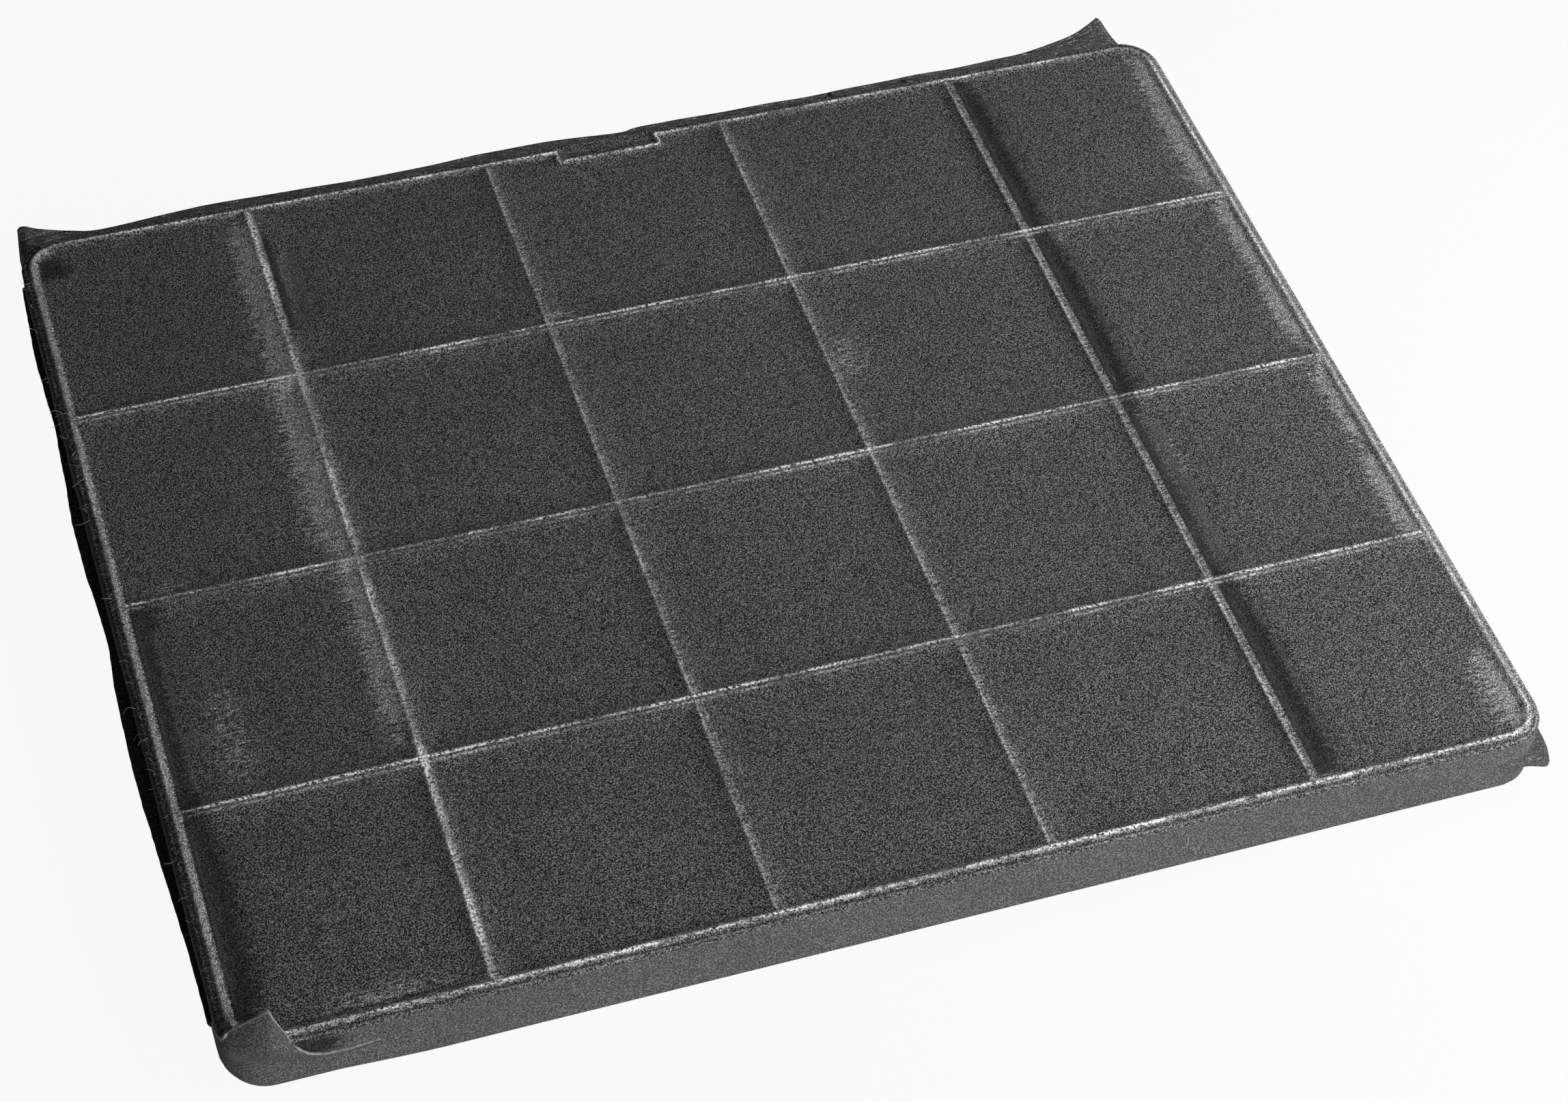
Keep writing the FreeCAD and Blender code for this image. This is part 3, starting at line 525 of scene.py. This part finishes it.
# Rings of the wall from the top down: how far in from its outside, and the height
WALL = [(0.16, 14.9), (0.02, 14.5), (0.0, 14.0), (0.14, 13.3), (0.10, 12.4), (0.0, 11.2), (0.0, 9.8),
        (0.05, 8.5), (0.12, 8.0), (0.05, 7.5), (0.0, 6.2), (0.0, 4.4), (0.0, 2.6), (0.0, 1.4),
        (0.12, 0.65)]
outer_x, outer_y = HALF_X - GRID_IN, HALF_Y - GRID_IN
outer, outer_faces = closed_cloth(
    cloth_lines(outer_x, COLUMN_RIBS, RIB_STEPS, WIDEST,
                [side * (NOTCH_HALF + step) for side in (-1, 1) for step in NOTCH_STEPS]),
    cloth_lines(outer_y, ROW_RIBS, RIB_STEPS, WIDEST, [NOTCH_FRONT - step for step in NOTCH_STEPS]),
    outer_x, outer_y, CORNER - GRID_IN, WALL, lift=0.0, sway=0.10, inwards=False)
# The inside of the cloth lies against the cassette, and its grid is plainer
INNER_RIB_STEPS, INNER_WIDEST = [0.0, 0.9, 2.0, 4.0], 6.0
INNER_WALL = [(0.0, 13.6), (0.0, 8.0), (0.0, 2.0)]
inner_x, inner_y = outer_x - CLOTH, outer_y - CLOTH
inner, inner_faces = closed_cloth(
    cloth_lines(inner_x, COLUMN_RIBS, INNER_RIB_STEPS, INNER_WIDEST),
    cloth_lines(inner_y, ROW_RIBS, INNER_RIB_STEPS, INNER_WIDEST),
    inner_x, inner_y, CORNER - GRID_IN - CLOTH, INNER_WALL, lift=CLOTH, sway=0.0, inwards=True)
shift = len(outer)
sleeve = plain_mesh("sleeve", np.concatenate([outer, inner]),
                    outer_faces + [[v + shift for v in face] for face in inner_faces], knit,
                    wear=np.concatenate([crest_wear(outer), np.zeros(len(inner))]),
                    nap=np.concatenate([nap_state(outer), np.zeros(len(inner))]))
# Round the walls the cloth is stretched tight, and it takes a paler copy of the knit, painted light that
# brightens the walls
PAINTED_LIGHT_FROM, PAINTED_LIGHT_TO = 0.8 * MM, 14.8 * MM
sleeve.data.materials.append(wall_knit_painted_light)
for face in sleeve.data.polygons:
    if PAINTED_LIGHT_FROM < face.center.z < PAINTED_LIGHT_TO:
        face.material_index = 1
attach(sleeve, "root")
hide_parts("cover")

# Welded seam and ears
# The sheet's two halves are welded together and cut just outside the weld, at half height along
# the left and the right, and drawn up under the lip along the back. The spare corners of the
# flat bag stand out as ears, and the one at the front left is folded up round its corner.

SEAM_Z = 8.0


def through(points, count):
    """Smooth run of points through the given ones, along the first axis."""
    points = np.asarray(points, float)
    padded = np.concatenate([2 * points[:1] - points[1:2], points, 2 * points[-1:] - points[-2:-1]])
    spots = np.linspace(0, len(points) - 1 - 1e-9, count)
    k = spots.astype(int)
    t = (spots - k).reshape(-1, *[1] * (points.ndim - 1))
    p0, p1, p2, p3 = padded[k], padded[k + 1], padded[k + 2], padded[k + 3]
    return 0.5 * (2 * p1 + (p2 - p0) * t + (2 * p0 - 5 * p1 + 4 * p2 - p3) * t ** 2
                  + (3 * p1 - p0 - 3 * p2 + p3) * t ** 3)


# Of this many even samples from root to free edge a strip keeps these, closer together at the
# edge. A bare edge shows the weld on faces whose points all lie beyond this one of those kept
SAMPLES, KEPT = 19, [0, 4, 8, 11, 15, 17, 18]
WELD_FROM = 4
TINY = 1e-6


def strip_rows(stations, step):
    """Rows of points across a strip at even steps along its free edge, and their places on it."""
    legs = np.linalg.norm(np.diff(stations[:, -1], axis=0), axis=1)
    run = legs.sum()
    count = max(12, int(run / step))
    at = np.concatenate([[0], np.cumsum(legs)]) / run
    even = np.interp(np.linspace(0, 1, count), at, np.arange(len(stations)))
    fine = through(stations, 40 * len(stations))
    pick = np.round(even / (len(stations) - 1) * (len(fine) - 1)).astype(int)
    rows = through(np.swapaxes(fine[pick], 0, 1), SAMPLES)[KEPT]
    return np.swapaxes(rows, 0, 1), np.linspace(0, run, count)


def unit(vectors):
    return vectors / np.maximum(np.linalg.norm(vectors, axis=-1, keepdims=True), TINY)


def frayed(rows, place, fray, seed):
    """The same rows with a ragged, fluttering free edge, and the normals on them."""
    flat = np.zeros(len(place))
    share = np.linspace(0, 1, len(KEPT))[None, :, None] ** 2
    tatter = fray * waves(place, flat, [(11, 1.0, seed), (3.1, 0.6, seed + 1)])
    rows = rows + unit(rows[:, -1] - rows[:, -3])[:, None] * tatter[:, None, None] * share
    normal = unit(np.cross(np.gradient(rows, axis=1), np.gradient(rows, axis=0)))
    flutter = 2.0 * fray * ripple(place, flat, 19, seed + 2)
    return rows + normal * flutter[:, None, None] * share, normal


def strip_faces(count):
    """Faces of a closed strip: its upper side, its lower side and the four edges between."""
    width = len(KEPT)
    grid = np.arange(count * width).reshape(count, width)
    under = grid + count * width
    upper = np.stack([grid[:-1, :-1], grid[1:, :-1], grid[1:, 1:], grid[:-1, 1:]], -1).reshape(-1, 4)
    faces = upper.tolist() + (upper[:, ::-1] + count * width).tolist()
    for line, low in ((grid[:, 0], under[:, 0]), (grid[:, -1], under[:, -1]),
                      (grid[0], under[0]), (grid[-1], under[-1])):
        faces += np.stack([line[:-1], line[1:], low[1:], low[:-1]], -1).tolist()
    return faces


def seam_strip(name, stations, step, fray, seed, tent=0.0, nap=0.0, cloth=(1.0, 0.6), bare=False):
    """Strip of doubled cloth. Each station runs from its root in the wall to its free edge.
    With a tent, the lower half of the sheet starts that much lower on the wall. Where the
    edge is bare, the hard line of the weld shows along it."""
    rows, place = strip_rows(np.asarray(stations, float), step)
    rows, normal = frayed(rows, place, fray, seed)
    half = np.linspace(*cloth, len(KEPT))[None, :, None] / 2
    upper, lower = rows + normal * half, rows - normal * half
    lower[:, :, 2] -= tent * np.linspace(1, 0, len(KEPT))
    points = np.concatenate([upper.reshape(-1, 3), lower.reshape(-1, 3)])
    strip = plain_mesh(name, points, strip_faces(len(place)), seam_knit, wear=np.zeros(len(points)),
                       nap=np.full(len(points), nap))
    strip.data.materials.append(weld_line)
    if bare:
        for face in strip.data.polygons:
            at_weld = [v % len(KEPT) > WELD_FROM for v in face.vertices]
            face.material_index = int(all(at_weld))
    shell = bmesh.new()
    shell.from_mesh(strip.data)
    bmesh.ops.recalc_face_normals(shell, faces=shell.faces)
    shell.to_mesh(strip.data)
    shell.free()
    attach(strip, "root")
    return strip


seam_knit = knit_material("welded_knit", dark=0.042, light=0.150, pale=0.24)
weld_line, shader = new_material("weld_line", Roughness=0.6, Specular_IOR_Level=0.3)
link(weld_line, blend(weld_line, ramp(weld_line, grain(weld_line, 900, 2).outputs[0], 0.35, 0.65),
                      grey(0.11), grey(0.25)), shader, "Base Color")

# Free edge of the back seam: its place along the back, how far back it stands, its height
BACK_EDGE = [(-124.3, 120.7, 13.2), (-104.4, 121.9, 13.2), (-97.7, 122.2, 13.2), (-77.2, 121.8, 13.2),
             (-56.7, 121.3, 13.2), (-29.6, 122.3, 13.2), (-7.9, 122.1, 13.2), (5.4, 120.8, 13.2),
             (13.2, 121.8, 13.2), (48.8, 121.4, 13.2), (93.4, 122.0, 13.2), (110.5, 122.4, 13.3),
             (120.5, 123.6, 13.5), (129.0, 125.8, 13.8)]
back_edge = seam_strip("back_seam", [
    [(-143.0, 112.0, 14.3), (-144.6, 117.4, 12.4), (-143.9, 125.2, 13.6)],
    [(-142.0, 114.0, 14.6), (-142.6, 119.0, 14.2), (-142.6, 125.8, 14.0)],
    [(-138.6, 115.4, 14.7), (-138.8, 119.2, 14.5), (-138.9, 124.2, 13.7)],
    [(-131.6, 116.2, 14.8), (-131.6, 119.2, 14.6), (-131.6, 122.0, 13.3)],
    *[[(x, 116.4, 14.8), (x, 118.9 + 0.3 * (y - 121.0), 14.75), (x, y, z)] for x, y, z in BACK_EDGE],
    [(134.2, 115.6, 14.8), (134.6, 120.4, 14.8), (135.6, 128.9, 14.4)],
    [(136.4, 115.0, 14.7), (136.7, 120.4, 14.8), (136.9, 129.2, 14.4)],
    [(138.6, 114.0, 14.4), (138.4, 118.4, 14.0), (138.4, 123.6, 12.6)],
    [(141.6, 111.5, 13.6), (141.4, 115.6, 12.4), (141.2, 117.2, 10.8)],
], step=1.0, fray=0.05, seed=21, tent=6.0, nap=0.40)
# Free edge of the left seam, in plan
LEFT_EDGE = [(-145.6, 111.0), (-146.3, 102.5), (-147.0, 84.4), (-146.6, 65.6), (-147.3, 48.7),
             (-148.1, 31.7), (-147.8, 14.7), (-147.1, -1.6), (-148.1, -17.4), (-148.6, -39.6),
             (-148.1, -54.8), (-147.2, -77.0), (-146.7, -91.1), (-146.6, -104.5)]
# The left seam lies in the left wall's shade, which is painted onto it as a dark tone below zero
left_edge = seam_strip("left_seam", [
    [(-141.0, y, SEAM_Z), (-145.2, y, SEAM_Z + 0.2), (x, y, SEAM_Z + 0.5)] for x, y in LEFT_EDGE],
    step=1.0, fray=0.07, seed=31, tent=3.0, nap=-0.9)
right_edge = seam_strip("right_seam", [
    [(141.0, 107.0, SEAM_Z), (145.4, 107.0, SEAM_Z), (145.8, 107.0, SEAM_Z + 0.2)],
    [(141.0, 92.0, SEAM_Z), (145.6, 92.0, SEAM_Z), (146.8, 92.0, SEAM_Z + 0.2)],
    [(141.0, 0.0, SEAM_Z), (145.6, 0.0, SEAM_Z), (147.0, 0.0, SEAM_Z + 0.2)],
    [(141.0, -92.0, SEAM_Z), (145.6, -92.0, SEAM_Z), (147.0, -92.0, SEAM_Z + 0.2)],
    [(138.0, -110.0, SEAM_Z), (144.5, -112.6, SEAM_Z), (146.6, -112.8, SEAM_Z)],
    [(136.8, -112.6, SEAM_Z), (142.4, -116.2, SEAM_Z), (145.6, -118.6, SEAM_Z)],
    [(136.5, -113.5, SEAM_Z), (141.0, -117.4, SEAM_Z), (144.2, -120.8, SEAM_Z)],
    [(136.0, -114.5, SEAM_Z), (138.6, -117.6, SEAM_Z), (141.0, -119.9, SEAM_Z)],
    [(133.0, -115.0, SEAM_Z), (133.4, -117.6, SEAM_Z), (134.0, -118.4, SEAM_Z)],
], step=0.9, fray=0.05, seed=41, nap=0.2)
front_flap = seam_strip("front_left_ear", [
    [(-144.3, -104.4, 6.6), (-145.4, -104.6, 7.8), (-145.5, -104.6, 8.9)],
    [(-143.9, -110.6, 8.0), (-145.5, -111.6, 12.0), (-145.3, -113.2, 15.3)],
    [(-142.8, -113.6, 8.0), (-144.6, -115.6, 13.6), (-143.2, -113.0, 17.0)],
    [(-139.8, -115.8, 8.0), (-140.6, -117.8, 15.2), (-139.0, -112.8, 18.8)],
    [(-137.2, -116.8, 8.0), (-137.2, -119.0, 15.6), (-136.1, -112.4, 19.8)],
    [(-136.6, -116.9, 8.0), (-136.6, -119.1, 15.5), (-135.2, -112.4, 20.0)],
    [(-136.0, -117.0, 8.0), (-136.0, -119.2, 15.3), (-134.8, -113.6, 19.2)],
    [(-133.6, -117.0, 8.0), (-133.8, -119.4, 13.8), (-133.4, -115.8, 17.2)],
    [(-130.0, -117.0, 8.0), (-130.6, -119.3, 11.0), (-130.7, -118.9, 13.4)],
    [(-126.2, -117.0, 7.4), (-126.6, -118.9, 9.0), (-126.8, -119.0, 10.4)],
    [(-121.0, -117.0, 6.6), (-121.2, -118.3, 7.9), (-121.2, -118.55, 9.2)],
    [(-115.0, -117.0, 6.6), (-115.0, -117.9, 7.9), (-115.0, -118.1, 9.3)],
    [(-110.0, -116.8, 6.6), (-110.0, -117.4, 7.9), (-110.0, -117.6, 9.3)],
], step=0.4, fray=0.0, seed=51, cloth=(1.0, 0.8), bare=True)

# Stray fibres and lint
# The rubbed knit sheds: short pale fibres stand up along the ribs and the ridge, longer hairs
# hang over the left edge, and scraps of lint lie over the cells.


# A fibre leans from its direction by up to this, in radians, and is scaled between these two
LEAN, SHORTEST, LONGEST = 0.5, 0.35, 1.5


def fibre_tree():
    """Places one bent fibre on every point, along the point's own direction."""
    tree = bpy.data.node_groups.new("stray_fibre", "GeometryNodeTree")
    sockets = tree.interface
    sockets.new_socket("Geometry", in_out="INPUT", socket_type="NodeSocketGeometry")
    for name, value in (("Length", 2.0 * MM), ("Radius", 0.04 * MM), ("Bend", 0.4)):
        sockets.new_socket(name, in_out="INPUT", socket_type="NodeSocketFloat").default_value = value
    sockets.new_socket("Seed", in_out="INPUT", socket_type="NodeSocketInt").default_value = 1
    sockets.new_socket("Material", in_out="INPUT", socket_type="NodeSocketMaterial")
    sockets.new_socket("Geometry", in_out="OUTPUT", socket_type="NodeSocketGeometry")

    def make(kind, inputs=None, **properties):
        node = tree.nodes.new(kind)
        for key, value in properties.items():
            setattr(node, key, value)
        for socket, value in (inputs or {}).items():
            if isinstance(value, bpy.types.NodeSocket):
                tree.links.new(value, node.inputs[socket])
            else:
                node.inputs[socket].default_value = value
        return node

    given = make("NodeGroupInput").outputs
    points = make("GeometryNodeMeshToPoints", {"Mesh": given["Geometry"]})
    middle = make("ShaderNodeCombineXYZ", {
        "X": make("ShaderNodeMath", {0: given["Length"], 1: given["Bend"]}, operation="MULTIPLY").outputs[0],
        "Z": make("ShaderNodeMath", {0: given["Length"], 1: 0.5}, operation="MULTIPLY").outputs[0]})
    end = make("ShaderNodeCombineXYZ", {"Z": given["Length"]})
    line = make("GeometryNodeCurveQuadraticBezier", {
        "Resolution": 4, "Start": (0.0, 0.0, 0.0), "Middle": middle.outputs[0], "End": end.outputs[0]})
    section = make("GeometryNodeCurvePrimitiveCircle", {"Resolution": 3, "Radius": given["Radius"]})
    fibre = make("GeometryNodeCurveToMesh", {
        "Curve": line.outputs[0], "Profile Curve": section.outputs[0], "Fill Caps": True})
    grow = make("GeometryNodeInputNamedAttribute", {"Name": "grow"}, data_type="FLOAT_VECTOR")
    turn = make("FunctionNodeAlignRotationToVector", {"Vector": grow.outputs[0]}, axis="Z")
    spin = make("FunctionNodeRandomValue", {
        0: (-LEAN, -LEAN, -3.14), 1: (LEAN, LEAN, 3.14), "Seed": given["Seed"]}, data_type="FLOAT_VECTOR")
    scale = make("FunctionNodeRandomValue", {
        2: SHORTEST, 3: LONGEST, "Seed": given["Seed"]}, data_type="FLOAT")
    placed = make("GeometryNodeInstanceOnPoints", {
        "Points": points.outputs[0], "Instance": fibre.outputs[0], "Rotation": turn.outputs[0],
        "Scale": scale.outputs[1]})
    spun = make("GeometryNodeRotateInstances", {"Instances": placed.outputs[0], "Rotation": spin.outputs[0]})
    real = make("GeometryNodeRealizeInstances", {"Geometry": spun.outputs[0]})
    painted = make("GeometryNodeSetMaterial", {"Geometry": real.outputs[0], "Material": given["Material"]})
    make("NodeGroupOutput", {"Geometry": painted.outputs[0]})
    return tree


fibre_nodes = fibre_tree()


def grow_fibres(name, places, directions, material, length, radius, bend, seed):
    """Fibres on these points, made a plain mesh."""
    seedbed = bpy.data.meshes.new(name + "_points")
    seedbed.from_pydata((np.asarray(places) * MM).tolist(), [], [])
    seedbed.attributes.new("grow", "FLOAT_VECTOR", "POINT").data.foreach_set(
        "vector", np.asarray(directions, np.float32).ravel())
    carrier = bpy.data.objects.new(name + "_carrier", seedbed)
    bpy.context.scene.collection.objects.link(carrier)
    modifier = carrier.modifiers.new("fibres", "NODES")
    modifier.node_group = fibre_nodes
    values = {"Length": length * MM, "Radius": radius * MM, "Bend": bend, "Seed": seed, "Material": material}
    for item in fibre_nodes.interface.items_tree:
        if item.in_out == "INPUT" and item.name in values:
            modifier[item.identifier] = values[item.name]
    evaluated = carrier.evaluated_get(bpy.context.evaluated_depsgraph_get())
    mesh = bpy.data.meshes.new_from_object(evaluated)
    bpy.data.objects.remove(carrier)
    mesh.name = name
    fibres = bpy.data.objects.new(name, mesh)
    bpy.context.scene.collection.objects.link(fibres)
    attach(fibres, "root")
    return fibres


def fibre_material(name, dark, light):
    fibre, shader = new_material(name, Roughness=0.7, Specular_IOR_Level=0.3)
    tint = grain(fibre, 260, 1)
    shade = ramp(fibre, tint.outputs[0], 0.4, 0.6)
    link(fibre, blend(fibre, shade, grey(dark), grey(light)), shader, "Base Color")
    return fibre


chance = np.random.default_rng(77)


def on_top(x, y, sink=0.05):
    return np.column_stack([x, y, top_height(x, y) - sink])


def leaning(count, upright):
    """Random directions, more upright or more flat."""
    angle = chance.uniform(0, 2 * math.pi, count)
    tilt = np.clip(chance.normal(upright, 0.3, count), 0.02, 1.5)
    return np.column_stack([np.cos(angle), np.sin(angle), tilt])


# Shares of the fibres along the row ribs and along the column ribs, the rest being along the
# ridge and the lip, and how far those lie from the rib's middle line and in from the wall
ON_ROWS, ON_COLUMNS, ON_FRONT_OR_BACK = 0.42, 0.26, 0.55
RIB_OFF, RIDGE_OFF = [-0.72, 0.72], [2.3, 2.7, 0.8]


def rib_places(count):
    """Points along the edges of the ribs and the ridge, denser in some stretches."""
    spots = []
    for _ in range(count):
        kind = chance.random()
        off = chance.choice(RIB_OFF) + chance.normal(0, 0.18)
        if kind < ON_ROWS:
            spots.append((chance.uniform(-141, 141), chance.choice(ROW_RIBS) + off))
        elif kind < ON_ROWS + ON_COLUMNS:
            spots.append((chance.choice(COLUMN_RIBS) + off, chance.uniform(-114, 114)))
        else:
            d = chance.choice(RIDGE_OFF) + chance.normal(0, 0.2)
            if chance.random() < ON_FRONT_OR_BACK:
                spots.append((chance.uniform(-134, 134), chance.choice([-1, 1]) * (HALF_Y - d)))
            else:
                spots.append((chance.choice([-1, 1]) * (HALF_X - d), chance.uniform(-108, 108)))
    x, y = np.array(spots).T
    keep = waves(x, y, [(40, 1.0, 63), (9, 0.7, 64)]) > chance.uniform(-1.2, 0.8, len(x))
    return x[keep], y[keep]


pale_fibre = fibre_material("pale_fibre", 0.10, 0.42)
rib_x, rib_y = rib_places(2600)
rib_fibres = grow_fibres("rib_fibres", on_top(rib_x, rib_y), leaning(len(rib_x), 0.45), pale_fibre,
                         length=0.8, radius=0.03, bend=0.45, seed=5)

HAIRS = 60
hair_x, hair_y = chance.uniform(0.4, 2.8, HAIRS) - HALF_X, chance.uniform(-106, 106, HAIRS)
outward = np.array([-1.0, 0.0, 0.25]) + chance.normal(0, 0.45, (HAIRS, 3))
hairs = grow_fibres("edge_hairs", on_top(hair_x, hair_y), outward, pale_fibre,
                    length=2.2, radius=0.03, bend=0.6, seed=6)

SCRAPS = 420
lint_x, lint_y = chance.uniform(-140, 140, SCRAPS), chance.uniform(-113, 113, SCRAPS)
lint = grow_fibres("lint", on_top(lint_x, lint_y, -0.05), leaning(SCRAPS, 0.05), pale_fibre,
                   length=0.4, radius=0.05, bend=0.5, seed=7)

# A few curled ones on the front wall
CURLS = 9
curl_x, curl_z = chance.uniform(57, 64, CURLS), chance.uniform(5, 13.5, CURLS)
on_front = np.column_stack([curl_x, np.full(CURLS, -HALF_Y - 0.05), curl_z])
sideways = np.column_stack([chance.normal(0, 1, CURLS), np.full(CURLS, -0.25), chance.normal(0, 0.7, CURLS)])
curl = grow_fibres("curled_fibres", on_front, sideways, pale_fibre,
                   length=2.6, radius=0.05, bend=0.9, seed=8)

# Studio
# A white table under soft light: one lamp close by on the right, a larger one low in front,
# and dim surroundings.

FLOOR_TONE, FLOOR_GLOW, FLOOR_REACH = 0.5, 0.93, 6
SURROUNDINGS = 0.07
floor_material, shader = new_material("pale_floor", Roughness=0.9, Specular_IOR_Level=0.1,
                                      Base_Color=(FLOOR_TONE, FLOOR_TONE, FLOOR_TONE, 1))
tree = floor_material.node_tree
rays = add_node(floor_material, "ShaderNodeLightPath")
seen = calc(floor_material, "ADD", rays.outputs["Is Camera Ray"], rays.outputs["Is Glossy Ray"])
seen = calc(floor_material, "ADD", seen, rays.outputs["Is Transmission Ray"])
glow = add_node(floor_material, "ShaderNodeEmission", {"Color": (1, 1, 1, 1), "Strength": 1.0})
amount = add_node(floor_material, "ShaderNodeMath", {0: seen, 1: FLOOR_GLOW},
                  operation="MULTIPLY", use_clamp=True)
mixed = add_node(floor_material, "ShaderNodeMixShader")
tree.links.new(amount.outputs[0], mixed.inputs[0])
tree.links.new(shader.outputs[0], mixed.inputs[1])
tree.links.new(glow.outputs[0], mixed.inputs[2])
tree.links.new(mixed.outputs[0], tree.nodes["Material Output"].inputs["Surface"])
floor_mesh = bpy.data.meshes.new("floor")
corners = [(x * FLOOR_REACH, y * FLOOR_REACH, 0) for x, y in ((-1, -1), (1, -1), (1, 1), (-1, 1))]
floor_mesh.from_pydata(corners, [], [(0, 1, 2, 3)])
floor_mesh.materials.append(floor_material)
floor = bpy.data.objects.new("floor", floor_mesh)
bpy.context.scene.collection.objects.link(floor)

world = bpy.data.worlds.new("studio")
bpy.context.scene.world = world
world.use_nodes = True
nodes, links = world.node_tree.nodes, world.node_tree.links
background = nodes["Background"]
path = nodes.new("ShaderNodeLightPath")
level = nodes.new("ShaderNodeMapRange")
links.new(path.outputs["Is Camera Ray"], level.inputs["Value"])
level.inputs["To Min"].default_value = SURROUNDINGS
level.inputs["To Max"].default_value = 1.0
background.inputs["Color"].default_value = (1, 1, 1, 1)
links.new(level.outputs[0], background.inputs["Strength"])


def facing(place, target):
    """Turn that points a lamp or the camera from its place at the target."""
    return (Vector(target) - Vector(place)).to_track_quat("-Z", "Y")


def soft_lamp(name, place, target, width, height, power):
    lamp = bpy.data.lights.new(name, "AREA")
    lamp.shape = "RECTANGLE"
    lamp.size, lamp.size_y, lamp.energy = width, height, power
    item = bpy.data.objects.new(name, lamp)
    item.location = place
    item.rotation_euler = facing(place, target).to_euler()
    bpy.context.scene.collection.objects.link(item)


soft_lamp("right_lamp", (0.42, -0.12, 0.32), (0.0, 0.0, 0.0), width=0.4, height=0.3, power=3.1)
soft_lamp("front_lamp", (0.22, -0.80, 0.24), (0.02, -0.08, 0.0), width=0.7, height=0.3, power=7.0)

# Where the camera stands, the point on the table that it looks at, and its tilt in degrees
CAMERA_PLACE, CAMERA_TARGET, CAMERA_TILT = (-0.18014, -0.49117, 0.59325), (0.00603, -0.01057, 0.0), 4.038
camera_data = bpy.data.cameras.new("camera")
camera_data.sensor_width = 36.0
camera_data.lens = 78.755
camera_data.clip_start = 0.01
camera = bpy.data.objects.new("camera", camera_data)
tilt = Matrix.Rotation(math.radians(CAMERA_TILT), 4, "Z")
camera.matrix_world = (Matrix.Translation(CAMERA_PLACE)
                       @ facing(CAMERA_PLACE, CAMERA_TARGET).to_matrix().to_4x4() @ tilt)
bpy.context.scene.collection.objects.link(camera)
bpy.context.scene.camera = camera
bpy.context.scene.view_settings.view_transform = "Standard"
